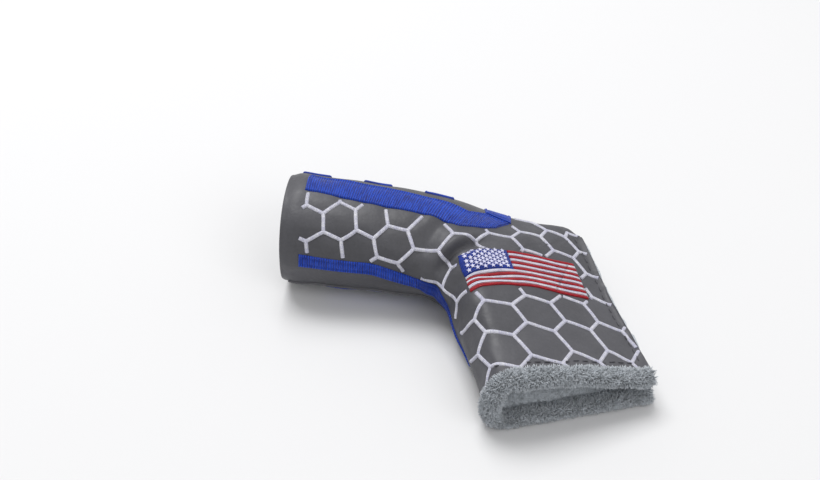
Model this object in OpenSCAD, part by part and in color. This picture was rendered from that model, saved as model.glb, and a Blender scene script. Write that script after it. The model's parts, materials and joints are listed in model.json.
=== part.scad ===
// Putter head cover for a blade putter: an L shaped padded boot that lies on its back panel.
// Toe at -X, heel at +X, mouth at -Y, sole fold at +Y, front panel up. Millimetres.

/* [Overall shape] */
// Length of the sole fold from the toe end to the heel corner
sole_len = 138; // [110:1:170]
// Width of the head tube from the inside of the L to the sole fold
head_w = 55; // [42:1:70]
// Height of the head tube at the toe end
toe_h = 52; // [34:1:64]
// Height of the head tube where the neck begins
head_h = 45; // [30:1:60]
// Width of the neck
neck_w = 76; // [56:1:100]
// Length of the inside edge of the neck down to the mouth
neck_len = 64; // [40:1:100]
// Lean of the neck away from a right angle, in degrees
neck_slant = 18; // [0:1:35]
// Radius of the inside corner of the L
inner_r = 14; // [8:1:24]
// Height of the neck where it leaves the head
neck_h = 37; // [26:1:48]
// Height of the mouth near its closed side
mouth_h = 29.5; // [22:0.5:40]
// Height of the sole fold at the heel corner
fold_h = 22; // [18:0.5:30]
// Height of the two plies where they close along the heel edge
heel_h = 16; // [15:0.5:24]

/* [Plies] */
// Thickness of the synthetic leather
leather_t = 1.3; // [1:0.1:2]
// Thickness of the foam under the leather
foam_t = 2.2; // [1:0.1:4]
// Thickness of the fleece lining
fleece_t = 3.2; // [2:0.1:4]
// Length of the fleece rolled out past the mouth edge
roll_len = 5.5; // [3:0.5:9]
// How far the fleece shows past the heel edge
heel_show = 1.5; // [0:0.5:3]
// Thickness of each closure tape
tape_t = 1; // [0.6:0.1:1.4]
// Width of each closure tape
tape_w = 14; // [8:1:22]

/* [Front flap] */
// Distance of the flap fold from the closed side of the mouth
fold_at = 16; // [14:1:50]
// Gap left along the flap fold
fold_gap = 0.8; // [0.5:0.1:2]

/* [Embroidery] */
// Flat to flat size of one honeycomb cell
cell = 19; // [12:0.5:30]
// Width of the honeycomb thread line
thread_w = 1.5; // [0.8:0.1:3]
// Height of the satin stitches above the leather
thread_h = 0.75; // [0.4:0.05:1.2]
// Length of the embroidered flag
flag_len = 58; // [30:1:60]
// Height of the embroidered flag
flag_h = 21; // [14:1:34]
// Number of bars across the sole
bar_count = 4; // [2:1:7]
// Width of each bar on the sole
bar_w = 14; // [5:1:20]

/* [Hidden] */

ply_t = leather_t + foam_t + fleece_t;
t1 = leather_t;
t2 = leather_t + foam_t;
t3 = ply_t;
across = [cos(neck_slant), sin(neck_slant)];
along = [sin(neck_slant), -cos(neck_slant)];
pivot = [-inner_r * (1 - sin(neck_slant)) / cos(neck_slant), -inner_r];
neck_s0 = pivot * along;
corner_q = (head_w - neck_w * sin(neck_slant)) / cos(neck_slant);
corner = neck_w * across - corner_q * along;
toe_x = corner[0] - sole_len;
toe_s = toe_x - pivot[0];
bend_len = 58;
corner_a = atan2(corner[1] - pivot[1], corner[0] - pivot[0]);
corner_s = bend_len * (90 - corner_a) / (90 - neck_slant);
mouth_s = bend_len + neck_len - neck_s0;
hinge_s = corner_s + 5;
flap_s = hinge_s + 3;
shift = [-9.61, 4.88, 0];

function mix(a, b, k) = a + (b - a) * k;
function clamp01(x) = min(1, max(0, x));
function ramp(x, a, b) = let (k = clamp01((x - a) / (b - a))) k * k * (3 - 2 * k);
function bow(x, p) = let (c = 1 - clamp01(x)) pow(max(0, 1 - pow(c, p)), 1 / p);
function unit2(a) = [cos(a), sin(a)];
function cross2(a, b) = a[0] * b[1] - a[1] * b[0];
function soft_min(a, b, k) = let (h = clamp01(0.5 + 0.5 * (b - a) / k)) mix(b, a, h) - k * h * (1 - h);

// One section of the cover: where it starts on the inside of the L, which way it points, how far it reaches.
function fan(s) = mix(90, neck_slant, clamp01(s / bend_len));
function origin(s) = s < 0 ? pivot + [s, inner_r]
  : s < bend_len ? pivot + inner_r * unit2(fan(s))
  : pivot + inner_r * across + (s - bend_len) * along;
function heading(s) = unit2(fan(s));
function reach(s) = s < 0 ? head_w
  : s < bend_len ? soft_min((head_w + inner_r) / sin(fan(s)), (neck_w + inner_r) / cos(fan(s) - neck_slant), 4) - inner_r
  : neck_w;

// Heights that change along the cover.
function head_top(s) = mix(toe_h, head_h, clamp01((s - toe_s - 6) / (-6 - toe_s)));
function top_in(s) = mix(mix(head_top(s), neck_h, ramp(s, -4, 62)), mouth_h, ramp(s, 58, mouth_s));
function top_out(s) = mix(mix(head_top(s), fold_h, ramp(s, -2, corner_s)), heel_h, ramp(s, corner_s, corner_s + 30));
function base_in(s) = 0.47 * top_in(s);
function base_out(s) = mix(0.5 * top_out(s), ply_t + 0.25, ramp(s, corner_s, corner_s + 12));
function round_in(s) = mix(head_w / 2, 13, ramp(s, 0, 60));
function round_out(s) = mix(head_w / 2, 11, ramp(s, 0, corner_s));
function opened(s) = ramp(s, corner_s, corner_s + 6);
function slit(s) = 0.25 * ramp(s, corner_s, corner_s + 3);
function toe_in(s) = let (k = clamp01((s - toe_s) / 8)) 3 * (1 - sqrt(1 - pow(1 - k, 2)));
function base(s, r) = mix(base_in(s), base_out(s), clamp01(r / reach(s)));
function crown(s, r) = let (r0 = 0.6 * round_in(s), x = clamp01((r - r0) / (reach(s) - r0)))
  mix(top_in(s), top_out(s), 0.5 * x + 0.5 * x * x * (3 - 2 * x)) + 1.6 * ramp(s, 10, 50) * 4 * x * (1 - x);
function arch(s, r) = ramp(s, toe_s + 8, toe_s + 20) * (1 - ramp(s, mouth_s - 9, mouth_s - 3))
  * mix(1, ramp(r, 10, 16) * ramp(reach(s) - r, 5, 9), ramp(s, 10, 40));
function end_r(s, t) = reach(s) - t * (1 - opened(s));
function ease_in(s, r, t, p) = bow((r - t) / (round_in(s) - t), p);
function ease_out(s, r, t, p) = let (m = opened(s)) m + (1 - m) * bow((reach(s) - t - r) / (round_out(s) - t), p);
function z_top(s, r, t) = let (b = base(s, r) + slit(s))
  b + (crown(s, r) - t - b) * ease_in(s, r, t, 2.15) * ease_out(s, r, t, 2.15);
function z_bot(s, r, t) = let (b = base(s, r) - slit(s))
  max(0, b + (t + arch(s, r) - b) * ease_in(s, r, t, 2.5) * ease_out(s, r, t, 2.5));
function place(s, r, z) = let (p = origin(s) + r * heading(s)) [p[0], p[1], z] + shift;

// The flap fold runs straight from the heel edge near the sole corner to the mouth.
fold_a = origin(mouth_s) + fold_at * across;
fold_b = origin(hinge_s) + reach(hinge_s) * heading(hinge_s);
fold_dir = fold_b - fold_a;
function fold_r(s) = cross2(fold_a - origin(s), fold_dir) / cross2(heading(s), fold_dir);

// Loop of the fixed shell: 0 at the outer end of the back ply, 1/2 at the inside edge, 1 at the outer end of the front.
function front_end(s, t) = s <= hinge_s ? end_r(s, t) : min(end_r(s, t), fold_r(s) - fold_gap / 2);
function loop_pt(s, u, t0, show) = let (t = t0 + toe_in(s))
  u <= 0.5
  ? let (e = end_r(s, t) + show * opened(s), r = mix(t, e, (1 + cos(360 * u)) / 2)) place(s, r, z_bot(s, r, t))
  : let (e = front_end(s, t), r = mix(t, e, (1 - cos(360 * (u - 0.5))) / 2)) place(s, r, z_top(s, r, t));
function flap_pt(s, k, t, show) = let (e = end_r(s, t) + show * opened(s), r = mix(fold_r(s) + fold_gap / 2, e, k))
  place(s, r, z_top(s, r, t));

NU = 28;
NF = 12;
SS = concat(
  [for (d = [0, t1 + 0.3, 2 * t1 + 0.3, 2 * t1 + 0.3 + foam_t, 2 * t1 + 0.3 + foam_t + fleece_t]) toe_s + d],
  [for (i = [1:9]) mix(toe_s + 2 * t1 + 0.3 + foam_t + fleece_t, 0, i / 9)],
  [for (i = [1:9]) mix(0, corner_s, i / 9)],
  [corner_s + 2.5, hinge_s, flap_s],
  [for (i = [1:5]) mix(flap_s, bend_len + 6, i / 5)],
  [for (i = [1:8]) mix(bend_len + 6, mouth_s, i / 8)]);
IC = 22;
IH = 24;
IF = 25;
IM = len(SS) - 1;

function tri(a, b, c, d) = [[a, b, c], [a, c, d]];
function flat1(v) = [for (x = v) each x];

// A layer of the fixed shell between two depths, from station i0 to the mouth.
module shell_layer(i0, ta, tb, show_a, show_b) {
  n = IM - i0 + 1;
  w = NU + 1;
  pts = concat([for (i = [i0:IM]) for (j = [0:NU]) loop_pt(SS[i], j / NU, ta, show_a)],
    [for (i = [i0:IM]) for (j = [0:NU]) loop_pt(SS[i], j / NU, tb, show_b)]);
  function id(i, j, k) = k * n * w + (i - i0) * w + (i <= IC && j == NU ? 0 : j);
  faces = concat(
    flat1([for (i = [i0:IM - 1]) for (j = [0:NU - 1]) tri(id(i, j, 0), id(i, j + 1, 0), id(i + 1, j + 1, 0), id(i + 1, j, 0))]),
    flat1([for (i = [i0:IM - 1]) for (j = [0:NU - 1]) tri(id(i, j, 1), id(i + 1, j, 1), id(i + 1, j + 1, 1), id(i, j + 1, 1))]),
    flat1([for (j = [0:NU - 1]) tri(id(i0, j, 0), id(i0, j, 1), id(i0, j + 1, 1), id(i0, j + 1, 0))]),
    flat1([for (j = [0:NU - 1]) tri(id(IM, j, 0), id(IM, j + 1, 0), id(IM, j + 1, 1), id(IM, j, 1))]),
    flat1([for (i = [IC:IM - 1]) tri(id(i, 0, 0), id(i + 1, 0, 0), id(i + 1, 0, 1), id(i, 0, 1))]),
    flat1([for (i = [IC:IM - 1]) tri(id(i, NU, 0), id(i, NU, 1), id(i + 1, NU, 1), id(i + 1, NU, 0))]));
  polyhedron(pts, faces, convexity = 8);
}

// A closed block from a grid of outer points and a grid of inner points.
module block(outer, inner) {
  n = len(outer);
  w = len(outer[0]);
  pts = concat(flat1(outer), flat1(inner));
  function id(i, j, k) = k * n * w + i * w + j;
  faces = concat(
    flat1([for (i = [0:n - 2]) for (j = [0:w - 2]) tri(id(i, j, 0), id(i, j + 1, 0), id(i + 1, j + 1, 0), id(i + 1, j, 0))]),
    flat1([for (i = [0:n - 2]) for (j = [0:w - 2]) tri(id(i, j, 1), id(i + 1, j, 1), id(i + 1, j + 1, 1), id(i, j + 1, 1))]),
    flat1([for (j = [0:w - 2]) tri(id(0, j, 0), id(0, j, 1), id(0, j + 1, 1), id(0, j + 1, 0))]),
    flat1([for (j = [0:w - 2]) tri(id(n - 1, j, 0), id(n - 1, j + 1, 0), id(n - 1, j + 1, 1), id(n - 1, j, 1))]),
    flat1([for (i = [0:n - 2]) tri(id(i, 0, 0), id(i + 1, 0, 0), id(i + 1, 0, 1), id(i, 0, 1))]),
    flat1([for (i = [0:n - 2]) tri(id(i, w - 1, 0), id(i, w - 1, 1), id(i + 1, w - 1, 1), id(i + 1, w - 1, 0))]));
  polyhedron(pts, faces, convexity = 6);
}

module flap_layer(ta, tb, show_a, show_b) {
  block([for (i = [IF:IM]) [for (j = [0:NF]) flap_pt(SS[i], j / NF, ta, show_a)]],
    [for (i = [IF:IM]) [for (j = [0:NF]) flap_pt(SS[i], j / NF, tb, show_b)]]);
}

// A disc that closes the toe between two stations, inside the layer of depth t.
module toe_disc(ia, ib, t) {
  a = [for (j = [0:NU - 1]) loop_pt(SS[ia], j / NU, t, 0)];
  b = [for (j = [0:NU - 1]) loop_pt(SS[ib], j / NU, t, 0)];
  faces = concat([[for (j = [NU - 1:-1:0]) j]], [[for (j = [0:NU - 1]) NU + j]],
    flat1([for (j = [0:NU - 1]) tri(j, (j + 1) % NU, NU + (j + 1) % NU, NU + j)]));
  polyhedron(concat(a, b), faces, convexity = 2);
}

module outer_shell() {
  color("dimgray") shell_layer(0, 0, t1, 0, 0);
}

module foam_shell() {
  color("khaki") shell_layer(2, t1, t2, 0, 0);
}

module lining_shell() {
  color("silver") shell_layer(3, t2, t3, heel_show, heel_show);
}

module toe_panel() {
  color("dimgray") toe_disc(1, 2, t1);
}

module toe_foam() {
  color("khaki") toe_disc(2, 3, t2);
}

module toe_lining() {
  color("silver") toe_disc(3, 4, t3);
}

module flap_leather() {
  color("dimgray") flap_layer(0, t1, 0, 0);
}

module flap_foam() {
  color("khaki") flap_layer(t1, t2, 0, 0);
}

module flap_lining() {
  color("silver") flap_layer(t2, t3, heel_show, heel_show);
}

// The fleece rolled out round the mouth: steps of [distance past the edge, outer depth, inner depth].
roll_steps = [[0, -0.3, t3], [0.28, -0.6, t3 + 0.1], [0.62, -0.5, t3 - 0.1], [0.88, 0.7, t3 - 1.4], [1, 2.2, t3 - 2.8]];

module mouth_roll() {
  color("silver") block([for (k = roll_steps) [for (j = [0:NU]) loop_pt(mouth_s + k[0] * roll_len, j / NU, k[1], heel_show)]],
    [for (k = roll_steps) [for (j = [0:NU]) loop_pt(mouth_s + k[0] * roll_len, j / NU, k[2], heel_show)]]);
}

module flap_roll() {
  color("silver") block([for (k = roll_steps) [for (j = [0:NF]) flap_pt(mouth_s + k[0] * roll_len, j / NF, k[1], heel_show)]],
    [for (k = roll_steps) [for (j = [0:NF]) flap_pt(mouth_s + k[0] * roll_len, j / NF, min(k[2], t3 + 0.2), heel_show)]]);
}

// Closure tapes on the two fleece faces that meet along the heel edge.
tape_s = [for (i = [0:6]) mix(corner_s + 34, mouth_s - 6, i / 6)];

module loop_tape() {
  color("gray") block(
    [for (s = tape_s) [for (j = [0:4]) let (r = neck_w - 2 - tape_w * (4 - j) / 4) place(s, r, t3 + arch(s, r) + 0.08 + tape_t)]],
    [for (s = tape_s) [for (j = [0:4]) let (r = neck_w - 2 - tape_w * (4 - j) / 4) place(s, r, t3 + arch(s, r) + 0.08)]]);
}

module hook_tape() {
  color("black") block(
    [for (s = tape_s) [for (j = [0:4]) let (r = neck_w - 2 - tape_w * (4 - j) / 4) place(s, r, z_top(s, r, t3) - 0.08)]],
    [for (s = tape_s) [for (j = [0:4]) let (r = neck_w - 2 - tape_w * (4 - j) / 4) place(s, r, z_top(s, r, t3) - 0.08 - tape_t)]]);
}

// Positions on the leather as drawn: the faceted grids of the shell and of the flap, bare and one step up.
G0 = [for (s = SS) [for (j = [0:NU]) loop_pt(s, j / NU, 0, 0)]];
G1 = [for (s = SS) [for (j = [0:NU]) loop_pt(s, j / NU, -1, 0)]];
F0 = [for (i = [IF:IM]) [for (j = [0:NF]) flap_pt(SS[i], j / NF, 0, 0)]];
F1 = [for (i = [IF:IM]) [for (j = [0:NF]) flap_pt(SS[i], j / NF, -1, 0)]];
FS = [for (i = [IF:IM]) SS[i]];

function spot(list, s) = let (k = [for (i = [0:len(list) - 2]) if (s >= list[i]) i]) len(k) > 0 ? k[len(k) - 1] : 0;
function bil(g, i, f, j, h) = mix(mix(g[i][j], g[i + 1][j], f), mix(g[i][j + 1], g[i + 1][j + 1], f), h);
function lift(a, b, h) = let (v = b - a) a + v / max(norm(v), 0.2) * h;

// Point on the fixed shell at loop position u (0 to 1, wrapping over the sole fold), h above the leather.
function on_shell(s, u, h) = let (i = spot(SS, s), f = (s - SS[i]) / (SS[i + 1] - SS[i]), x = (s > corner_s ? min(u, 0.9999) : u - floor(u)) * NU,
  j = min(floor(x), NU - 1)) lift(bil(G0, i, f, j, x - j), bil(G1, i, f, j, x - j), h);
function on_flap(s, k, h) = let (i = spot(FS, s), f = (s - FS[i]) / (FS[i + 1] - FS[i]), x = clamp01(k) * NF,
  j = min(floor(x), NF - 1)) lift(bil(F0, i, f, j, x - j), bil(F1, i, f, j, x - j), h);

// Arc length over the front, or over the back, from the outer end of a section, as a table of [arc, angle].
function face_pt(s, a, top) = let (r = reach(s) * (1 + cos(a)) / 2) [r, top ? z_top(s, r, 0) : z_bot(s, r, 0)];
function arcs(s, top) = let (p = [for (k = [0:18]) face_pt(s, 10 * k, top)])
  [for (k = 0, sum = 0; k <= 18; sum = sum + (k < 18 ? norm(p[k + 1] - p[k]) : 0), k = k + 1) [sum, 10 * k]];
function arc_full(s, top) = let (t = arcs(s, top)) t[18][0];
function arc_half(s, top) = lookup(90, [for (e = arcs(s, top)) [e[1], e[0]]]);
function r_at(s, arc, top) = reach(s) * (1 + cos(lookup(arc, arcs(s, top)))) / 2;

// Loop position for a distance along the surface from the outer end (top = front, else back).
function u_at(s, arc, top) = let (a = lookup(arc, arcs(s, top)))
  top ? (s <= corner_s ? 1 - a / 360
    : let (r = reach(s) * (1 + cos(a)) / 2, e = front_end(s, 0)) 0.5 + acos(1 - 2 * clamp01(r / e)) / 360)
  : a / 360;
function k_at(s, arc) = let (r = r_at(s, arc, true), a = fold_r(s) + fold_gap / 2) (r - a) / (end_r(s, 0) - a);

// Plan position to [section, distance], for the real slant and for the flatter slant of the sewn pattern.
function plan_to(p, slant) = let (v = p - pivot, al = [sin(slant), -cos(slant)])
  v[0] < 0 && v[1] > 0 ? [v[0], v[1] - inner_r]
  : v * al > 0 ? [bend_len + v * al, v * [cos(slant), sin(slant)] - inner_r]
  : [bend_len * (90 - atan2(v[1], v[0])) / (90 - slant), norm(v) - inner_r];

// Which body a place belongs to: 0 shell, 1 flap, 2 neither.
function side_of(s, r) = s < corner_s ? 0 : s > hinge_s && r > fold_r(s) + 1.1 ? (s > flap_s + 0.6 ? 1 : 2)
  : s < hinge_s || r < fold_r(s) - 1.1 ? 0 : 2;

// Centre of the flag and the room kept clear around it, measured across and along the neck.
flag_c = [neck_w / 2 - 2.6, 8.7];
function flag_wave(u) = -2.4 * sin(180 * u / flag_len);
function in_flag(p) = let (a = p * across - flag_c[0], b = p * along - flag_c[1] - flag_wave(a + flag_len / 2))
  abs(a) < flag_len / 2 + 1.2 && abs(b) < flag_h / 2 + 1.4;

// Upper edge of the trim along the inside of the L, measured from the innermost line, front positive, and its width.
function trim_hi(s) = 7 - 5.5 * ramp(s, -26, 4) - 12 * ramp(s, 40, 75);
function trim_w(s) = mix(6.6, 1, ramp(s, 45, 85));
function back_trim_w(s) = 6 * (1 - ramp(s, 0, 40)) + 0.6;
function band_low(x) = mix(45, 32, clamp01((x - 4) / 20));

// Whether honeycomb belongs at a pattern place: q is [section, distance].
function comb_ok(q, top) = let (s = q[0], half = arc_half(s, top), arc = half + reach(s) / 2 - q[1], full = arc_full(s, top),
  sq = s > bend_len ? 0 : sin(fan(s)), near_sole = s < corner_s ? arc * sq : 99, r = r_at(s, arc, top),
  x = (origin(s) + r * heading(s))[0], inward = full - arc, past = corner[0] - 37 + 7 * clamp01((band_low(x) - near_sole) / 9))
  s > toe_s + 9 && s < mouth_s - 1 && (top
    ? (near_sole > band_low(x) + 1.3 || (x > past && (near_sole > 24 || x > corner[0] - 29)))
      && inward > max(1.2, trim_hi(s) + 1.2) && arc > 1.2
    : near_sole > 29.5 && inward > (s < 44 ? 25 : 17) && arc > 6.5 && s < mouth_s - 5);

cell_r = cell / sqrt(3);
// The flat honeycomb as it lies on the sewn cover: a gentle warp, straightened towards the toe.
function warp_x(x, y) = -24.13 + y * (9.68 - 1.61 * y - 2.59 * y * y) + x * (42.89 - 8.88 * y - 0.59 * y * y)
  + x * x * (10.29 + 0.67 * y - 3.34 * x);
function warp_y(x, y) = 4.11 + y * (43.18 + 8.19 * y + 1.6 * y * y) + x * (-3.02 - 4.15 * y - 6.82 * y * y)
  + x * x * (14.28 + 1.02 * y - 5.46 * x);
function warp_at(x, y) = [warp_x(x, y), warp_y(x, y)];
function sewn(p) = let (x = p[0] / 50, y = p[1] / 50, c = max(x, -0.28))
  x >= c ? warp_at(x, y) : warp_at(c, y) + (warp_at(c, y) - warp_at(c - 0.01, y)) * (x - c) / 0.01;
function comb_room(p) = p[0] < 118 && p[1] < 48 && p[1] > -92 && (p[1] > -36 || p[0] > 8 - 0.35 * (p[1] + 36))
  && (p[0] > 15 || abs(p[1]) < 36);
comb_edges = [for (m = [-7:8]) for (n = [-9:8]) for (e = [0:2])
  let (c = [1.5 * cell_r * m, cell * (n + m / 2)], a = c + cell_r * unit2(60 * e), b = c + cell_r * unit2(60 * e + 60))
  if (norm(c) < 150 && comb_room(a) && comb_room(b)) [a, b]];

// Runs of an edge that stay on one body: returns [start, end] fractions.
function comb_where(a, b, k, top) = let (q = plan_to(sewn(mix(a, b, k)), neck_slant), s = q[0])
  s <= toe_s + 9 || s >= mouth_s - 1 || q[1] < -20 || q[1] > reach(s) + 20 || !comb_ok(q, top) ? -1
  : let (arc = arc_half(s, top) + reach(s) / 2 - q[1], r = r_at(s, arc, top), pl = origin(s) + r * heading(s))
    !top ? (z_bot(s, r, 0) < 0.93 ? -1 : 2) : in_flag(pl) ? -1 : side_of(s, r);

comb_cuts = [0.05, 0.2, 0.35, 0.5, 0.65, 0.8, 0.95];
function comb_run(a, b, want, top) = let (k = [for (c = comb_cuts) if (comb_where(a, b, c, top) == want) c])
  len(k) < 2 ? [] : [k[0], k[len(k) - 1]];

function on_front(p, h, flap) = let (q = plan_to(sewn(p), neck_slant), s = q[0], arc = arc_half(s, true) + reach(s) / 2 - q[1])
  flap ? on_flap(s, k_at(s, arc), h) : on_shell(s, u_at(s, arc, true), h);
function on_back(p, h) = let (q = plan_to(sewn(p), neck_slant), s = q[0], arc = arc_half(s, false) + reach(s) / 2 - q[1])
  on_shell(s, u_at(s, arc, false), h);

lo = 0.12;

module comb_bars(want, top) {
  for (e = comb_edges) {
    run = comb_run(e[0], e[1], want, top);
    if (len(run) == 2) {
      dir = (e[1] - e[0]) / norm(e[1] - e[0]);
      side = [-dir[1], dir[0]] * thread_w / 2;
      ks = [run[0], (run[0] + run[1]) / 2, run[1]];
      pp = [for (k = ks) let (c = mix(e[0], e[1], k)) [c - side, c + side]];
      if (top) {
        block([for (p = pp) [on_front(p[1], thread_h, want == 1), on_front(p[0], thread_h, want == 1)]],
          [for (p = pp) [on_front(p[1], lo, want == 1), on_front(p[0], lo, want == 1)]]);
      } else {
        block([for (p = pp) [on_back(p[0], thread_h), on_back(p[1], thread_h)]],
          [for (p = pp) [on_back(p[0], lo), on_back(p[1], lo)]]);
      }
    }
  }
}

module honeycomb_front() {
  color("white") comb_bars(0, true);
}

module flap_honeycomb() {
  color("white") comb_bars(1, true);
}

module honeycomb_back() {
  color("white") comb_bars(2, false);
}

// Bands on the head given by a distance from the sole fold, front positive.
function on_head(x, a, h) = let (y = head_w - max(0, abs(a) - 8), q = plan_to([x, y], neck_slant), s = min(q[0], corner_s - 0.1),
  arc = abs(a) / sin(fan(s))) on_shell(s, u_at(s, arc, a > 0), h);

module head_band(x0, x1, a0, a1, skew) {
  n = 20;
  m = 4;
  g = function (h) [for (i = [0:n]) [for (j = [0:m]) let (a = mix(a0, a1, j / m))
    on_head(mix(x0, x1 + skew * (1 - j / m), i / n), a, h)]];
  block(g(thread_h), g(lo));
}

band_x1 = corner[0] - 34;

module edge_band_front() {
  n = 18;
  m = 4;
  x1 = corner[0] - 38.5;
  g = function (h) [for (i = [0:n]) [for (j = [0:m]) let (x = mix(toe_x + 9, x1 + 7 * j / m, i / n),
    low = band_low(x), up = mix(30, 23.2, clamp01((x - 8) / 10))) on_head(x, mix(up, low, 1 - j / m), h)]];
  color("blue") block(g(thread_h), g(lo));
}

module edge_band_back() {
  color("blue") head_band(toe_x + 9, band_x1 - 9, -19, -28, 9);
}

bar_pitch = (corner[0] - 37.5 - toe_x - 12) / (bar_count - 1);

module sole_bars() {
  color("blue") for (i = [0:bar_count - 1]) {
    x0 = corner[0] - 37.5 - i * bar_pitch - bar_w / 2;
    g = function (h) [for (k = [0:3]) [for (j = [0:12]) on_head(x0 + bar_w * k / 3, mix(22.6, -18.6, j / 12), h)]];
    block(g(thread_h), g(lo));
  }
}

// Trim that follows the inside of the L and tapers out along the neck.
trim_s = concat([for (i = [0:9]) mix(toe_s + 9, 0, i / 9)], [for (i = [1:16]) mix(0, 86, i / 16)]);
function on_inside(s, b, h) = b >= 0 ? on_shell(s, u_at(s, arc_full(s, true) - b, true), h)
  : on_shell(s, u_at(s, arc_full(s, false) + b, false), h);

module inner_trim_front() {
  g = function (h) [for (s = trim_s) [for (j = [0:3]) on_inside(s, trim_hi(s) - trim_w(s) * (3 - j) / 3, h)]];
  color("blue") block(g(thread_h), g(lo));
}

module inner_trim_back() {
  g = function (h) [for (s = trim_s) if (s > toe_s + 20 && s < 42) [for (j = [0:2])
    on_inside(s, -16.8 - back_trim_w(s) * (2 - j) / 2, h)]];
  color("blue") block(g(min(thread_h, 0.7)), g(lo));
}

// The closing seam along the inside of the L: a low welt.
seam_s = concat([for (i = [0:8]) mix(toe_s + 3, 0, i / 8)], [for (i = [1:14]) mix(0, bend_len, i / 14)],
  [for (i = [1:6]) mix(bend_len, mouth_s - 1, i / 6)]);

module inner_seam() {
  g = function (h) [for (s = seam_s) [for (j = [-1:1]) on_shell(s, 0.42 + j * 0.006, h)]];
  color("gray") block(g(0.9), g(lo));
}

// Short topstitches a set distance in from the heel and mouth edges.
module stitch(a, b, flap) {
  d = (b - a) / norm(b - a);
  n = [-d[1], d[0]] * 0.35;
  f = function (p, h) let (q = plan_to(p, neck_slant), s = q[0], r = q[1])
    flap ? on_flap(s, (r - fold_r(s) - fold_gap / 2) / (end_r(s, 0) - fold_r(s) - fold_gap / 2), h)
    : on_shell(s, 0.5 + acos(1 - 2 * clamp01(r / front_end(s, 0))) / 360, h);
  block([for (p = [a, b]) [f(p + n, 0.5), f(p - n, 0.5)]], [for (p = [a, b]) [f(p + n, lo), f(p - n, lo)]]);
}

stitch_pitch = 4.2;
mouth_l = origin(mouth_s - 4.5);

module flap_topstitch() {
  color("silver") {
    for (i = [1:18]) {
      q = corner_q - 14 - i * stitch_pitch;
      stitch((neck_w - 3.2) * across - q * along, (neck_w - 3.2) * across - (q - 3) * along, true);
    }
    for (i = [0:11]) {
      stitch(mouth_l + (fold_at + 3.5 + i * stitch_pitch) * across, mouth_l + (fold_at + 6.5 + i * stitch_pitch) * across, true);
    }
  }
}

module shell_topstitch() {
  color("silver") for (i = [0:1]) {
    stitch(mouth_l + (5.2 + i * stitch_pitch) * across, mouth_l + (8.2 + i * stitch_pitch) * across, false);
  }
}

// The flag, laid square to the neck: v runs down the neck, u across it, with a slight wave.
function flag_xy(u, v) = let (a = flag_c[0] - flag_len / 2 + u, b = flag_c[1] - flag_h / 2 + v + flag_wave(u))
  a * across + b * along;
function flag_cut(v) = let (g = [for (k = [0:60]) let (u = flag_len * k / 60, q = plan_to(flag_xy(u, v), neck_slant))
  if (q[1] < fold_r(q[0])) u]) len(g) > 0 ? g[len(g) - 1] : 0;
function on_flag(u, v, h, flap) = let (q = plan_to(flag_xy(u, v), neck_slant), s = q[0], r = q[1])
  flap ? on_flap(s, (r - fold_r(s) - fold_gap / 2) / (end_r(s, 0) - fold_r(s) - fold_gap / 2), h)
  : s <= corner_s ? on_shell(s, 0.5 + acos(1 - 2 * clamp01(r / reach(s))) / 360, h)
  : on_shell(s, 0.5 + acos(1 - 2 * clamp01(r / front_end(s, 0))) / 360, h);

stripe_h = flag_h / 13;
canton_u = flag_len * 0.42;

module stripe(i, flap) {
  v0 = i * stripe_h + 0.04;
  v1 = v0 + stripe_h - 0.08;
  u0 = flap ? max(flag_cut(v0), flag_cut(v1)) + 1.8 : i < 7 ? canton_u + 0.1 : 0;
  u1 = flap ? flag_len : min(flag_cut(v0), flag_cut(v1)) - 1.2;
  if (u1 - u0 > 1.5) {
    g = function (h) [for (k = [0:6]) [on_flag(mix(u0, u1, k / 6), v0, h, flap), on_flag(mix(u0, u1, k / 6), v1, h, flap)]];
    block(g(thread_h), g(lo));
  }
}

module flag_red() {
  color("red") for (i = [0:2:12]) stripe(i, false);
}

module flag_white() {
  color("white") for (i = [1:2:11]) stripe(i, false);
}

module flap_flag_red() {
  color("red") for (i = [0:2:12]) stripe(i, true);
}

module flap_flag_white() {
  color("white") for (i = [1:2:11]) stripe(i, true);
}

module flag_canton() {
  g = function (h) [for (k = [0:6]) [for (j = [0:4]) on_flag(canton_u * k / 6, 7 * stripe_h * j / 4, h, false)]];
  color("blue") block(g(thread_h), g(lo));
}

module flag_stars() {
  color("white") for (i = [0:5]) for (j = [0:2]) {
    u = canton_u * (i + 0.5) / 6;
    v = 7 * stripe_h * (j + 0.28 + 0.4 * (i % 2)) / 3;
    ring = [for (k = [0:5]) [u + 1.05 * cos(60 * k), v + 1.05 * sin(60 * k)]];
    b = [for (p = ring) on_flag(p[0], p[1], thread_h + 0.1, false)];
    t = [for (p = ring) on_flag(p[0], p[1], thread_h + 0.45, false)];
    c = on_flag(u, v, thread_h + 0.1, false);
    d = on_flag(u, v, thread_h + 0.45, false);
    faces = concat([for (k = [0:5]) [12, k, (k + 1) % 6]], [for (k = [0:5]) [13, 6 + (k + 1) % 6, 6 + k]],
      flat1([for (k = [0:5]) tri(k, 6 + k, 6 + (k + 1) % 6, (k + 1) % 6)]));
    polyhedron(concat(b, t, [c, d]), faces, convexity = 2);
  }
}

outer_shell();
toe_panel();
foam_shell();
toe_foam();
lining_shell();
toe_lining();
mouth_roll();
loop_tape();
inner_seam();
honeycomb_front();
honeycomb_back();
edge_band_front();
edge_band_back();
sole_bars();
inner_trim_front();
inner_trim_back();
shell_topstitch();
flag_canton();
flag_stars();
flag_red();
flag_white();
flap_leather();
flap_foam();
flap_lining();
flap_roll();
hook_tape();
flap_honeycomb();
flap_topstitch();
flap_flag_red();
flap_flag_white();
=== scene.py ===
import json
import math

import bmesh
import bpy
import numpy as np
from mathutils import Matrix, Vector

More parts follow.
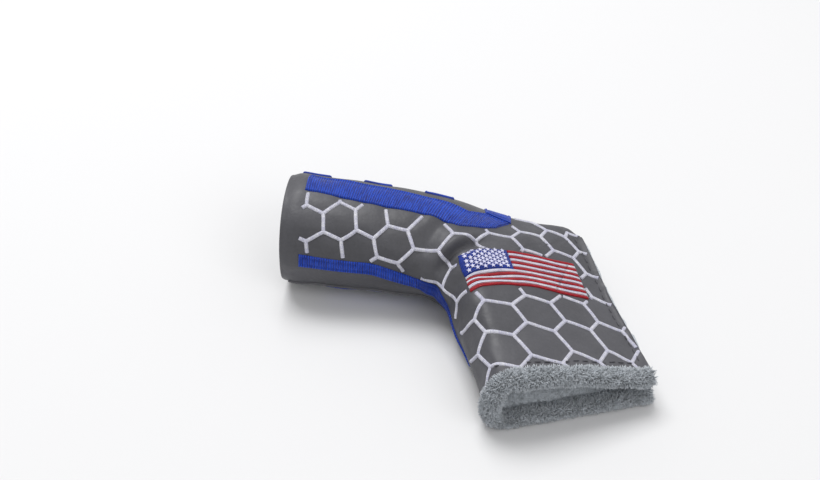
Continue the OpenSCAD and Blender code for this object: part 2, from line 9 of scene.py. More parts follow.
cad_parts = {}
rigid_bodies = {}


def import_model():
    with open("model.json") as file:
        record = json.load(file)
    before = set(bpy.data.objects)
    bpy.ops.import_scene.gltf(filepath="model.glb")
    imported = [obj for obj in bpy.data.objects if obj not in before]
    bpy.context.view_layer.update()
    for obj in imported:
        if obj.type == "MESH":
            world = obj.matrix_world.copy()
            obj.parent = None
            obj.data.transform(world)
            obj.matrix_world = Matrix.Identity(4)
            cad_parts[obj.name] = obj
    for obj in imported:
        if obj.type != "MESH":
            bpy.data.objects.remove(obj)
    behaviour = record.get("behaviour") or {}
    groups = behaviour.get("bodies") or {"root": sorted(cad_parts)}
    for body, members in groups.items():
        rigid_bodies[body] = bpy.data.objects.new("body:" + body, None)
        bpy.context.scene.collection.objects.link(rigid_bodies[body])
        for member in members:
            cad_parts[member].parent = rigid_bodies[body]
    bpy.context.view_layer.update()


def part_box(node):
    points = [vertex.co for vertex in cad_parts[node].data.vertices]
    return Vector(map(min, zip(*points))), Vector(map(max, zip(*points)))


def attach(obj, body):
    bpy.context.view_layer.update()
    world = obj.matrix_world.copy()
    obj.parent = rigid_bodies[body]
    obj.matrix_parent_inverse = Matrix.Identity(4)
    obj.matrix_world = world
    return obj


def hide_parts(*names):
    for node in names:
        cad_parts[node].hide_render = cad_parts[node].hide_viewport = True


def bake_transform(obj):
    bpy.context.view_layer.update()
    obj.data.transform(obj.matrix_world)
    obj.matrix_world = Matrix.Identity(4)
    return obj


for leftover in list(bpy.data.objects):
    bpy.data.objects.remove(leftover)
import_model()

# ---------------------------------------------------------------------------
# Pattern of the cover, in millimetres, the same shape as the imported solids.
# ---------------------------------------------------------------------------
MM = 0.001
SOLE_LEN, HEAD_W, TOE_H, HEAD_H = 138.0, 55.0, 52.0, 45.0
NECK_W, NECK_LEN, SLANT, INNER_R = 76.0, 64.0, 18.0, 14.0
NECK_H, MOUTH_H, FOLD_H, HEEL_H = 37.0, 29.5, 22.0, 16.0
LEATHER_T, FOAM_T, FLEECE_T = 1.3, 2.2, 3.2
PLY_T = LEATHER_T + FOAM_T + FLEECE_T
ROLL_LEN, HEEL_SHOW, FOLD_AT = 5.5, 1.5, 16.0
BEND_LEN = 58.0
# No fabric is drawn closer to the floor than this.
FLOOR_GAP = 0.02
# A distance that is longer than anything on the cover.
FAR = 99.0

slant = math.radians(SLANT)
ACROSS = np.array([math.cos(slant), math.sin(slant)])
ALONG = np.array([math.sin(slant), -math.cos(slant)])
PIVOT = np.array([-INNER_R * (1 - math.sin(slant)) / math.cos(slant), -INNER_R])
CORNER_Q = (HEAD_W - NECK_W * math.sin(slant)) / math.cos(slant)
CORNER = NECK_W * ACROSS - CORNER_Q * ALONG
TOE_X = CORNER[0] - SOLE_LEN
TOE_S = TOE_X - PIVOT[0]
CORNER_ANGLE = math.degrees(math.atan2(CORNER[1] - PIVOT[1], CORNER[0] - PIVOT[0]))
CORNER_S = BEND_LEN * (90 - CORNER_ANGLE) / (90 - SLANT)
MOUTH_S = BEND_LEN + NECK_LEN - float(PIVOT @ ALONG)
HINGE_S = CORNER_S + 5

shell_low, shell_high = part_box("outer_shell")
SHIFT = np.array([shell_low.x / MM - TOE_X, shell_high.y / MM - HEAD_W, 0.0])


def mix(a, b, k):
    return a + (b - a) * k


def clamp01(x):
    return np.minimum(1, np.maximum(0, x))


def ramp(x, a, b):
    k = clamp01((x - a) / (b - a))
    return k * k * (3 - 2 * k)


def bow(x, p):
    return np.maximum(0, 1 - (1 - clamp01(x)) ** p) ** (1 / p)


def soft_min(a, b, k):
    h = clamp01(0.5 + 0.5 * (b - a) / k)
    return mix(b, a, h) - k * h * (1 - h)


def fan(s):
    return mix(90.0, SLANT, clamp01(s / BEND_LEN))


def heading(s):
    a = np.radians(fan(s))
    return np.stack([np.cos(a), np.sin(a)], -1)


def origin(s):
    s = np.asarray(s, float)
    bend = PIVOT + INNER_R * heading(s)
    head = PIVOT + np.stack([s, np.full_like(s, INNER_R)], -1)
    neck = PIVOT + INNER_R * ACROSS + (s - BEND_LEN)[..., None] * ALONG
    return np.where((s < 0)[..., None], head, np.where((s >= BEND_LEN)[..., None], neck, bend))


def reach(s):
    s = np.asarray(s, float)
    f = np.radians(fan(s))
    to_sole = (HEAD_W + INNER_R) / np.sin(f)
    to_heel_edge = (NECK_W + INNER_R) / np.maximum(1e-3, np.cos(f - slant))
    bend = soft_min(to_sole, to_heel_edge, 4) - INNER_R
    return np.where(s < 0, HEAD_W, np.where(s < BEND_LEN, bend, NECK_W))


def head_top(s):
    return mix(TOE_H, HEAD_H, clamp01((s - TOE_S - 6) / (-6 - TOE_S)))


def top_in(s):
    return mix(mix(head_top(s), NECK_H, ramp(s, -4, 62)), MOUTH_H, ramp(s, 58, MOUTH_S))


def top_out(s):
    return mix(mix(head_top(s), FOLD_H, ramp(s, -2, CORNER_S)), HEEL_H, ramp(s, CORNER_S, CORNER_S + 30))


def base(s, r):
    inner = 0.47 * top_in(s)
    outer = mix(0.5 * top_out(s), PLY_T + 0.25, ramp(s, CORNER_S, CORNER_S + 12))
    return mix(inner, outer, clamp01(r / reach(s)))


def round_in(s):
    return mix(HEAD_W / 2, 13, ramp(s, 0, 60))


def round_out(s):
    return mix(HEAD_W / 2, 11, ramp(s, 0, CORNER_S))


def opened(s):
    return ramp(s, CORNER_S, CORNER_S + 6)


def slit(s):
    return 0.25 * ramp(s, CORNER_S, CORNER_S + 3)


def toe_in(s):
    k = clamp01((s - TOE_S) / 8)
    return 3 * (1 - np.sqrt(1 - (1 - k) ** 2))


def crown(s, r):
    r0 = 0.6 * round_in(s)
    x = clamp01((r - r0) / (reach(s) - r0))
    level = mix(top_in(s), top_out(s), 0.5 * x + 0.5 * x * x * (3 - 2 * x))
    return level + 1.6 * ramp(s, 10, 50) * 4 * x * (1 - x)


def arch(s, r):
    rim = mix(1, ramp(r, 10, 16) * ramp(reach(s) - r, 5, 9), ramp(s, 10, 40))
    return ramp(s, TOE_S + 8, TOE_S + 20) * (1 - ramp(s, MOUTH_S - 9, MOUTH_S - 3)) * rim


def ease(s, r, t, p):
    m = opened(s)
    inner = bow((r - t) / (round_in(s) - t), p)
    return inner * (m + (1 - m) * bow((reach(s) - t - r) / (round_out(s) - t), p))


def z_top(s, r, t=0.0):
    b = base(s, r) + slit(s)
    return b + (crown(s, r) - t - b) * ease(s, r, t, 2.15)


def z_bot(s, r, t=0.0):
    b = base(s, r) - slit(s)
    return np.maximum(0, b + (t + arch(s, r) - b) * ease(s, r, t, 2.5))


FOLD_A = origin(np.array(MOUTH_S)) + FOLD_AT * ACROSS
FOLD_B = origin(np.array(HINGE_S)) + reach(HINGE_S) * heading(np.array(HINGE_S))
FOLD_DIR = FOLD_B - FOLD_A


def cross2(a, b):
    return a[..., 0] * b[..., 1] - a[..., 1] * b[..., 0]


def fold_r(s):
    return cross2(FOLD_A - origin(s), FOLD_DIR) / cross2(heading(s), FOLD_DIR)


def plan_to(p):
    """Section and distance of a plan place."""
    v = np.asarray(p, float) - PIVOT
    down, over = v @ ALONG, v @ ACROSS
    x, y = v[..., 0], v[..., 1]
    head = (x < 0) & (y > 0)
    neck = ~head & (down > 0)
    bend_s = BEND_LEN * (90 - np.degrees(np.arctan2(y, x))) / (90 - SLANT)
    s = np.where(head, x, np.where(neck, BEND_LEN + down, bend_s))
    r = np.where(head, y, np.where(neck, over, np.hypot(x, y))) - INNER_R
    return s, r


# The flat honeycomb as it lies on the sewn cover: a gentle warp, straightened towards the toe.
PATTERN_UNIT = 50
STRAIGHT_FROM = -0.28


def warp(x, y):
    """Plan place of a spot of the flat pattern, given in pattern units."""
    wx = (-24.13 + y * (9.68 - 1.61 * y - 2.59 * y * y) + x * (42.89 - 8.88 * y - 0.59 * y * y)
          + x * x * (10.29 + 0.67 * y - 3.34 * x))
    wy = (4.11 + y * (43.18 + 8.19 * y + 1.6 * y * y) + x * (-3.02 - 4.15 * y - 6.82 * y * y)
          + x * x * (14.28 + 1.02 * y - 5.46 * x))
    return np.stack([wx, wy], -1)


def sewn(p):
    """Plan place of a spot of the flat pattern, given in millimetres."""
    p = np.asarray(p, float)
    x, y = p[..., 0] / PATTERN_UNIT, p[..., 1] / PATTERN_UNIT
    c = np.maximum(x, STRAIGHT_FROM)
    slope = (warp(c, y) - warp(c - 0.01, y)) / 0.01
    return warp(c, y) + slope * (x - c)[..., None]


# ---------------------------------------------------------------------------
# The leather face as one fine net: rows run along the cover, columns round it.
# Column 0 is the heel side of the back, the middle is the inside of the L.
# ---------------------------------------------------------------------------
HALF = 56
COLS = 2 * HALF
RIM_ROWS = TOE_S + np.array([0, 0.35, 0.9, 1.7, 2.8, 4.2, 6.0, 8.0])
STRETCHES = ((TOE_S + 8, 0, 36), (0, CORNER_S, 30), (CORNER_S, BEND_LEN, 22), (BEND_LEN, MOUTH_S, 36))
ROWS = np.concatenate([RIM_ROWS, *(np.linspace(*stretch)[1:] for stretch in STRETCHES)])
CLOSED = int(np.argmin(abs(ROWS - CORNER_S)))
U = np.linspace(0, 1, COLS + 1)


def face_place(s, u):
    """Bare leather face at section s and loop place u, before padding and creases."""
    s, u = np.broadcast_arrays(np.asarray(s, float), np.asarray(u, float))
    t = toe_in(s)
    back = u <= 0.5
    c = np.cos(2 * np.pi * u)
    far = reach(s) - t * (1 - opened(s))
    r = mix(t, far, (1 + c) / 2)
    z = np.where(back, z_bot(s, r, t), z_top(s, r, t))
    xy = origin(s) + r[..., None] * heading(s)
    return np.concatenate([xy, z[..., None]], -1) + SHIFT


def net_normals(net):
    du = np.empty_like(net)
    du[:, 1:-1] = net[:, 2:] - net[:, :-2]
    du[:, 0], du[:, -1] = net[:, 1] - net[:, 0], net[:, -1] - net[:, -2]
    wrap = net[: CLOSED + 1, 1] - net[: CLOSED + 1, -2]
    du[: CLOSED + 1, 0] = du[: CLOSED + 1, -1] = wrap
    ds = np.gradient(net, axis=0)
    n = np.cross(du, ds)
    n /= np.maximum(np.linalg.norm(n, axis=-1, keepdims=True), 1e-9)
    # Columns crowd at the open heel edge, so its normals come from a little way in.
    for j in range(5):
        n[CLOSED + 1:, j], n[CLOSED + 1:, -1 - j] = n[CLOSED + 1:, 5], n[CLOSED + 1:, -6]
    middle = net.mean(1, keepdims=True)
    if ((net - middle) * n).sum() < 0:
        n = -n
    return n


def soften(field, rounds):
    """Smooths a field over the net, round the closed rows too."""
    for _ in range(rounds):
        f = field.copy()
        f[1:-1] = (field[:-2] + 2 * field[1:-1] + field[2:]) / 4
        g = f.copy()
        g[:, 1:-1] = (f[:, :-2] + 2 * f[:, 1:-1] + f[:, 2:]) / 4
        ring = (f[: CLOSED + 1, 1] + 2 * f[: CLOSED + 1, 0] + f[: CLOSED + 1, -2]) / 4
        g[: CLOSED + 1, 0] = g[: CLOSED + 1, -1] = ring
        field = g
    return field


def mesh_object(name, verts, faces, material=None, smooth=True):
    """A piece from points in millimetres."""
    mesh = bpy.data.meshes.new(name)
    mesh.from_pydata((np.asarray(verts, float) * MM).tolist(), [], [list(map(int, f)) for f in faces])
    mesh.update()
    obj = bpy.data.objects.new(name, mesh)
    bpy.context.scene.collection.objects.link(obj)
    if smooth:
        mesh.shade_smooth()
    if material is not None:
        mesh.materials.append(material)
    return obj


PADDING_CAP = 1.6
CLOTH_SCALE = 10
CLOTH_FRAMES = 20


def settle_padding(net):
    """Lets the padding press the leather out between its seams, by a short cloth run.

    The run takes every second row and column, ten times as large as life. The answer is how far
    each place of the whole net moves, in millimetres.
    """
    rows, cols = np.arange(0, len(net), 2), np.arange(0, net.shape[1], 2)
    coarse = net[np.ix_(rows, cols)]
    n, m = coarse.shape[:2]
    closed = int((ROWS[rows] <= CORNER_S + 1e-6).sum()) - 1
    index = np.arange(n * m).reshape(n, m)
    index[: closed + 1, -1] = index[: closed + 1, 0]
    quads = [(index[i, j], index[i, j + 1], index[i + 1, j + 1], index[i + 1, j])
             for i in range(n - 1) for j in range(m - 1)]
    obj = mesh_object("padding_run", coarse.reshape(-1, 3) * CLOTH_SCALE, quads)
    held = obj.vertex_groups.new(name="held")
    seam = np.zeros((n, m), bool)
    seam[0] = seam[-1] = True
    seam[:, m // 2] = True
    seam[closed:, 0] = seam[closed:, -1] = True
    held.add([int(i) for i in index[seam]], 1.0, "REPLACE")
    cloth = obj.modifiers.new("cloth", "CLOTH")
    cs = cloth.settings
    cs.quality = 6
    cs.mass = 0.3
    cs.tension_stiffness = cs.compression_stiffness = 12
    cs.shear_stiffness = 6
    cs.bending_stiffness = 0.6
    cs.use_pressure = True
    cs.uniform_pressure_force = 4
    cs.shrink_min = -0.035
    cs.vertex_group_mass = "held"
    cs.effector_weights.gravity = 0
    cloth.collision_settings.use_collision = False
    cloth.point_cache.frame_start, cloth.point_cache.frame_end = 1, CLOTH_FRAMES
    scene = bpy.context.scene
    for f in range(1, CLOTH_FRAMES + 1):
        scene.frame_set(f)
    shaped = obj.evaluated_get(bpy.context.evaluated_depsgraph_get()).data
    co = np.empty(len(shaped.vertices) * 3)
    shaped.vertices.foreach_get("co", co)
    co = (co.reshape(-1, 3) / MM / CLOTH_SCALE)[index]
    bpy.data.objects.remove(obj)
    scene.frame_set(1)
    move = co - coarse
    size = np.linalg.norm(move, axis=-1, keepdims=True)
    print("padding moved the leather by up to", round(float(size.max()), 2), "mm")
    move *= np.minimum(1, PADDING_CAP / np.maximum(size, 1e-9))
    fine_rows = np.interp(np.arange(len(net)), rows, np.arange(n))
    i0 = np.minimum(fine_rows.astype(int), n - 2)
    fi = (fine_rows - i0)[:, None, None]
    up = move[i0] * (1 - fi) + move[i0 + 1] * fi
    fine_cols = np.interp(np.arange(net.shape[1]), cols, np.arange(m))
    j0 = np.minimum(fine_cols.astype(int), m - 2)
    fj = (fine_cols - j0)[None, :, None]
    return up[:, j0] * (1 - fj) + up[:, j0 + 1] * fj


net0 = face_place(ROWS[:, None], U[None, :])
steps = np.linalg.norm(np.diff(net0, axis=1), axis=-1)
# Distance over the face from the heel side: from column 0 on the back, from the last on the front.
ARC_BACK, ARC_FRONT = (np.concatenate([np.zeros((len(ROWS), 1)), np.cumsum(side[:, :HALF], 1)], 1)
                       for side in (steps, steps[:, ::-1]))


def arcs_at(s, front):
    """Distances over the face at every column of a half, for each section."""
    table = ARC_FRONT if front else ARC_BACK
    s = np.asarray(s, float)
    i = np.clip(np.searchsorted(ROWS, s, side="right") - 1, 0, len(ROWS) - 2)
    f = np.clip((s - ROWS[i]) / (ROWS[i + 1] - ROWS[i]), 0, 1)[..., None]
    return table[i] * (1 - f) + table[i + 1] * f


def loop_place(s, arc, front):
    """Loop place for a distance over the face from the heel side."""
    s, arc = np.broadcast_arrays(np.asarray(s, float), np.asarray(arc, float))
    t = arcs_at(s, front)
    k = np.clip((t <= arc[..., None]).sum(-1) - 1, 0, HALF - 1)[..., None]
    a, b = np.take_along_axis(t, k, -1)[..., 0], np.take_along_axis(t, k + 1, -1)[..., 0]
    h = np.clip(k[..., 0] + (arc - a) / np.maximum(b - a, 1e-9), 0, HALF) * 0.5 / HALF
    return 1 - h if front else h


def full_arc(s, front):
    return arcs_at(s, front)[..., -1]


def half_arc(s, front):
    return arcs_at(s, front)[..., HALF // 2]


def wave_noise(p, size, seed):
    """Smooth repeatable waviness over places p in millimetres."""
    rng = np.random.default_rng(seed)
    total = np.zeros(p.shape[:-1])
    for _ in range(7):
        k = rng.normal(size=3)
        k = k / np.linalg.norm(k) * 2 * np.pi / (size * rng.uniform(0.7, 1.5))
        total += np.sin(p @ k + rng.uniform(0, 6.28))
    return total / 3


def crease(p, a, b, width, depth):
    """A soft fold that runs from plan place a to b and fades at both ends."""
    a, b = np.array(a, float), np.array(b, float)
    d = b - a
    k = ((p - a) @ d) / (d @ d)
    off = np.linalg.norm(p - a - np.clip(k, 0, 1)[..., None] * d, axis=-1)
    fade = ramp(k, -0.15, 0.25) * (1 - ramp(k, 0.6, 1.1))
    groove = np.exp(-((off / width) ** 2))
    ridges = 0.35 * np.exp(-(((off - 2 * width) / width) ** 2))
    return -depth * fade * (groove - ridges)


# Where the embroidery lies, shared by the pillows between its lines and by the thread itself.
# The flag's middle is given across and along the neck.
CELL = 19.0
CELL_R = CELL / math.sqrt(3)
FLAG_C, FLAG_LEN, FLAG_H = np.array([NECK_W / 2 - 2.6, 8.7]), 58.0, 21.0
STRIPES, CANTON_STRIPES = 13, 7
STRIPE_H = FLAG_H / STRIPES
CANTON_U, CANTON_H = FLAG_LEN * 0.42, CANTON_STRIPES * STRIPE_H
# Embroidery keeps this far from the toe rim, and the honeycomb this far from what lies beside it.
TOE_MARGIN = 9
COMB_GAP = 1.2


def flag_wave(u):
    """How far the flag's rows rise and fall along its length."""
    return -2.4 * np.sin(np.pi * u / FLAG_LEN)


def trim_hi(s):
    """Upper edge of the front trim, from the innermost line of the L."""
    return 7 - 5.5 * ramp(s, -26, 4) - 12 * ramp(s, 40, 75)


def trim_w(s):
    return mix(6.6, 1.0, ramp(s, 45, 85))


def back_trim_w(s):
    return 6 * (1 - ramp(s, 0, 40)) + 0.6


def band_low(x):
    """Upper edge of the front band, from the sole fold."""
    return mix(45.0, 32.0, clamp01((x - 4) / 20))


def comb_room(p):
    """Whether a place of the flat pattern can lie on the cover at all."""
    x, y = p
    right_of_neck_edge = y > -36 or x > 8 - 0.35 * (y + 36)
    level_with_head = x > 15 or abs(y) < 36
    return x < 118 and -92 < y < 48 and right_of_neck_edge and level_with_head


def cell_corner(middle, k):
    a = math.radians(60 * k)
    return middle + CELL_R * np.array([math.cos(a), math.sin(a)])


COMB_EDGES = []
for m in range(-7, 9):
    for n in range(-9, 9):
        c = np.array([1.5 * CELL_R * m, CELL * (n + m / 2)])
        for e in range(3):
            a, b = cell_corner(c, e), cell_corner(c, e + 1)
            if np.linalg.norm(c) < 150 and comb_room(a) and comb_room(b):
                COMB_EDGES.append((a, b))


def comb_spot(p, front):
    """Section, loop place and zone of pattern places: -1 none, 0 fixed front, 1 flap, 2 back."""
    s, d = plan_to(sewn(p))
    inside = (s > TOE_S + TOE_MARGIN) & (s < MOUTH_S - 1) & (d > -20) & (d < reach(s) + 20)
    s_in = np.clip(s, TOE_S, MOUTH_S)
    arc = half_arc(s_in, front) + reach(s_in) / 2 - d
    left = full_arc(s_in, front) - arc
    turn = np.where(s_in > BEND_LEN, 0.0, np.sin(np.radians(fan(s_in))))
    near = np.where(s_in < CORNER_S, arc * turn, FAR)
    u = loop_place(s_in, arc, front)
    r = reach(s_in) * (1 + np.cos(2 * np.pi * u)) / 2
    plan = origin(s_in) + r[..., None] * heading(s_in)
    if not front:
        # Clear of the back band, the back trim, the heel edge and the mouth, and off the flat underside.
        off_trim = left > np.where(s_in < 44, 25, 17)
        ok = inside & (near > 29.5) & off_trim & (arc > 6.5) & (s_in < MOUTH_S - 5)
        return s_in, u, np.where(ok & (z_bot(s_in, r) >= 0.93), 2, -1)
    x = plan[..., 0]
    past_band = x > CORNER[0] - 37 + 7 * clamp01((band_low(x) - near) / 9)
    past_bars = (near > 24) | (x > CORNER[0] - 29)
    off_band = (near > band_low(x) + 1.3) | (past_band & past_bars)
    off_trim = left > np.maximum(COMB_GAP, trim_hi(s_in) + COMB_GAP)
    ga, gb = plan @ ACROSS - FLAG_C[0], plan @ ALONG - FLAG_C[1]
    gb = gb - flag_wave(ga + FLAG_LEN / 2)
    off_flag = ~((abs(ga) < FLAG_LEN / 2 + COMB_GAP) & (abs(gb) < FLAG_H / 2 + 1.4))
    ok = inside & off_band & off_trim & off_flag & (arc > COMB_GAP)
    return s_in, u, np.where(ok, np.where((s_in > HINGE_S) & (r > fold_r(s_in)), 1, 0), -1)


def refine(a, b, inside, outside, front, want):
    """Moves an end of a run to the edge of its zone."""
    for _ in range(7):
        middle = (inside + outside) / 2
        if comb_spot(mix(a, b, middle)[None], front)[2][0] == want:
            inside = middle
        else:
            outside = middle
    return inside


def comb_runs(front, want):
    """Sections and loop places along every honeycomb line of one zone."""
    runs = []
    for a, b in COMB_EDGES:
        k = np.linspace(0, 1, 23)
        here = comb_spot(mix(a, b, k[:, None]), front)[2] == want
        i = 0
        while i < len(k):
            if not here[i]:
                i += 1
                continue
            j = i
            while j + 1 < len(k) and here[j + 1]:
                j += 1
            low = refine(a, b, k[i], k[i - 1], front, want) if i > 0 else 0.0
            high = refine(a, b, k[j], k[j + 1], front, want) if j < len(k) - 1 else 1.0
            if high - low > 0.06:
                k_run = np.linspace(low, high, max(4, int((high - low) * 14)))
                s, u, _ = comb_spot(mix(a, b, k_run[:, None]), front)
                runs.append((s, u))
            i = j + 1
    return runs


padding = settle_padding(net0)
padding = soften(padding, 2)
bare = net0 + padding
N = net_normals(bare)
s_all = np.broadcast_to(ROWS[:, None], net0.shape[:2])
COMB = {want: comb_runs(front, want) for front, want in ((True, 0), (True, 1), (False, 2))}
# The thread pulls the leather down along every line, and the padding swells between them.
PILLOW, PILLOW_SPREAD = 0.75, 2.0
pull = np.zeros(net0.shape[:2])
for cols, runs in ((slice(HALF, COLS + 1), COMB[0] + COMB[1]), (slice(0, HALF + 1), COMB[2])):
    line = np.concatenate([face_place(s, u) for s, u in runs])
    for i in range(len(ROWS)):
        far = np.linalg.norm(net0[i, cols][:, None] - line[None], axis=-1).min(1)
        pull[i, cols] = np.maximum(pull[i, cols], np.exp(-((far / PILLOW_SPREAD) ** 2)))
pillow = -PILLOW * soften(pull, 1)
plan_all = net0[..., :2] - SHIFT[:2]
front_side = np.arange(COLS + 1)[None, :] >= HALF
# Wrinkles where the head bends into the neck: from, to, width, depth.
WRINKLES = (((-4, -2), (24, 20), 2.8, 2.2), ((2, -10), (34, -2), 2.6, 1.2), ((-12, 4), (2, 26), 3.2, 1.3),
            ((-2, 1), (17, 17.5), 1.5, 1.9), ((2, -1), (13, 8), 1.2, 1.1))
folds = sum(crease(plan_all, *wrinkle) for wrinkle in WRINKLES)
folds = folds * np.where(front_side, 1.0, 0.35) * ramp(net0[..., 2], 6, 16)
waves = 0.28 * wave_noise(net0, 26, 5) + 0.14 * wave_noise(net0, 11, 8)
calm = ramp(s_all, TOE_S, TOE_S + 10) * (1 - 0.6 * ramp(s_all, MOUTH_S - 12, MOUTH_S))
FACE = bare + N * ((pillow + folds + waves * calm)[..., None])
FACE[: CLOSED + 1, -1] = FACE[: CLOSED + 1, 0]
# The back can't press below the surface that it lies on, and its embroidery needs room there too.
lowest = np.where(front_side, FLOOR_GAP, np.clip(net0[..., 2], FLOOR_GAP, 1.1))
FACE[..., 2] = np.maximum(FACE[..., 2], lowest)
NORMAL = net_normals(FACE)


def sample(s, u, lift=0.0):
    """Place on the finished leather face, lifted along its normal."""
    s, u, lift = np.broadcast_arrays(np.asarray(s, float), np.asarray(u, float), np.asarray(lift, float))
    i = np.clip(np.searchsorted(ROWS, s, side="right") - 1, 0, len(ROWS) - 2)
    f = np.clip((s - ROWS[i]) / (ROWS[i + 1] - ROWS[i]), 0, 1)[..., None]
    w = np.where(s > CORNER_S, np.clip(u, 0, 0.999999), np.mod(u, 1.0)) * COLS
    j = np.clip(w.astype(int), 0, COLS - 1)
    g = (w - j)[..., None]

    def net(a):
        left = a[i, j] * (1 - f) + a[i + 1, j] * f
        right = a[i, j + 1] * (1 - f) + a[i + 1, j + 1] * f
        return left * (1 - g) + right * g

    n = net(NORMAL)
    n = n / np.maximum(np.linalg.norm(n, axis=-1, keepdims=True), 1e-9)
    return net(FACE) + n * lift[..., None]


def u_of_fold(s):
    """Loop place where the front meets the flap fold."""
    k = np.clip(2 * fold_r(np.asarray(s, float)) / reach(s) - 1, -1, 1)
    return np.where(np.asarray(s) <= HINGE_S, 1.0, 1 - np.arccos(k) / (2 * np.pi))


# ---------------------------------------------------------------------------
# Materials
# ---------------------------------------------------------------------------
def colour(hex_value):
    """An sRGB hex value as linear RGBA."""
    c = np.array([int(hex_value[i: i + 2], 16) / 255 for i in (1, 3, 5)])
    c = np.where(c <= 0.04045, c / 12.92, ((c + 0.055) / 1.055) ** 2.4)
    return (*c.tolist(), 1.0)


def add(tree, kind, inputs=None, **settings):
    """Adds one node: settings are its properties, inputs its values or the sockets that feed them."""
    node = tree.nodes.new(kind)
    for key, value in settings.items():
        setattr(node, key, value)
    for key, value in (inputs or {}).items():
        socket = node.inputs[key]
        if isinstance(value, bpy.types.NodeSocket):
            tree.links.new(value, socket)
        else:
            socket.default_value = value
    return node


def new_material(name):
    mat = bpy.data.materials.new(name)
    mat.use_nodes = True
    mat.node_tree.nodes.clear()
    return mat, mat.node_tree


def per_mm(size):
    """Texture scale for a feature of this many millimetres in Object coordinates."""
    return 1.0 / (size * MM)


def polyurethane_leather(name, dark, light):
    """PU leather: embossed pebble grain on a fabric back.

    A soft low gloss with fine pebbles and slightly uneven grey.
    """
    mat, t = new_material(name)
    at = add(t, "ShaderNodeTexCoord").outputs["Object"]
    cloud = add(t, "ShaderNodeTexNoise", {"Vector": at, "Scale": per_mm(38), "Detail": 3.0,
                                          "Roughness": 0.55})
    speck = add(t, "ShaderNodeTexNoise", {"Vector": at, "Scale": per_mm(1.4), "Detail": 2.0})
    tone = add(t, "ShaderNodeMath", {0: cloud.outputs["Fac"], 1: 0.75}, operation="MULTIPLY")
    tone = add(t, "ShaderNodeMath", {0: speck.outputs["Fac"], 1: 0.25, 2: tone.outputs[0]},
               operation="MULTIPLY_ADD")
    grey = add(t, "ShaderNodeValToRGB", {"Fac": tone.outputs[0]})
    grey.color_ramp.elements[0].position, grey.color_ramp.elements[1].position = 0.3, 0.72
    grey.color_ramp.elements[0].color, grey.color_ramp.elements[1].color = colour(dark), colour(light)
    pebble = add(t, "ShaderNodeTexVoronoi", {"Vector": at, "Scale": per_mm(1.1)}, feature="SMOOTH_F1")
    creases = add(t, "ShaderNodeTexNoise", {"Vector": at, "Scale": per_mm(3.2), "Detail": 4.0,
                                            "Roughness": 0.65})
    grain = add(t, "ShaderNodeBump", {"Height": pebble.outputs["Distance"], "Strength": 0.22,
                                      "Distance": 0.00025})
    skin = add(t, "ShaderNodeBump", {"Height": creases.outputs["Fac"], "Strength": 0.28, "Distance": 0.0006,
                                     "Normal": grain.outputs[0]})
    gloss = add(t, "ShaderNodeMapRange", {"Value": creases.outputs["Fac"], "From Min": 0.3, "From Max": 0.7,
                                          "To Min": 0.44, "To Max": 0.58})
    shader = add(t, "ShaderNodeBsdfPrincipled", {"Base Color": grey.outputs[0], "Roughness": gloss.outputs[0],
                                                 "IOR": 1.48, "Specular IOR Level": 0.42,
                                                 "Normal": skin.outputs[0]})
    add(t, "ShaderNodeOutputMaterial", {"Surface": shader.outputs[0]})
    return mat


def rayon_thread(name, deep, bright, pitch, rough=0.42):
    """Rayon embroidery thread laid in satin stitch: fine parallel threads with a silky sheen, partly painted
    into the colour as lighter raised threads and darker grooves.

    UV holds millimetres, V across the threads.
    """
    mat, t = new_material(name)
    uv = add(t, "ShaderNodeUVMap", uv_map="UVMap").outputs[0]
    at = add(t, "ShaderNodeTexCoord").outputs["Object"]
    stretch = add(t, "ShaderNodeMapping", {"Vector": uv, "Scale": (0.16, 1.0 / pitch, 1.0)})
    strand = add(t, "ShaderNodeTexNoise", {"Vector": stretch.outputs[0], "Scale": 1.0, "Detail": 2.0,
                                           "Roughness": 0.6})
    ridge = add(t, "ShaderNodeTexWave", {"Vector": uv, "Scale": 0.314 / pitch, "Distortion": 1.2,
                                         "Detail": 1.0, "Detail Scale": 1.4}, bands_direction="Y")
    cloud = add(t, "ShaderNodeTexNoise", {"Vector": at, "Scale": per_mm(9), "Detail": 2.0})
    tone = add(t, "ShaderNodeMath", {0: strand.outputs["Fac"], 1: 0.62}, operation="MULTIPLY")
    tone = add(t, "ShaderNodeMath", {0: ridge.outputs["Fac"], 1: 0.2, 2: tone.outputs[0]},
               operation="MULTIPLY_ADD")
    tone = add(t, "ShaderNodeMath", {0: cloud.outputs["Fac"], 1: 0.2, 2: tone.outputs[0]},
               operation="MULTIPLY_ADD")
    # The colour follows the same streaks and ridges as the bump, so raised threads are lighter and the grooves
    # between them darker: painted highlight and painted shade, with a broad random tone from the cloud.
    dye_and_painted_sheen = add(t, "ShaderNodeValToRGB", {"Fac": tone.outputs[0]})
    dye_and_painted_sheen.color_ramp.elements[0].position, dye_and_painted_sheen.color_ramp.elements[1].position = 0.33, 0.66
    dye_and_painted_sheen.color_ramp.elements[0].color, dye_and_painted_sheen.color_ramp.elements[1].color = colour(deep), colour(bright)
    height = add(t, "ShaderNodeMath", {0: strand.outputs["Fac"], 1: 0.6, 2: ridge.outputs["Fac"]},
                 operation="MULTIPLY_ADD")
    bump = add(t, "ShaderNodeBump", {"Height": height.outputs[0], "Strength": 0.8, "Distance": 0.0005})
    shader = add(t, "ShaderNodeBsdfPrincipled", {"Base Color": dye_and_painted_sheen.outputs[0], "Roughness": rough, "IOR": 1.5,
                                                 "Sheen Weight": 0.08, "Sheen Roughness": 0.4,
                                                 "Normal": bump.outputs[0]})
    add(t, "ShaderNodeOutputMaterial", {"Surface": shader.outputs[0]})
    return mat


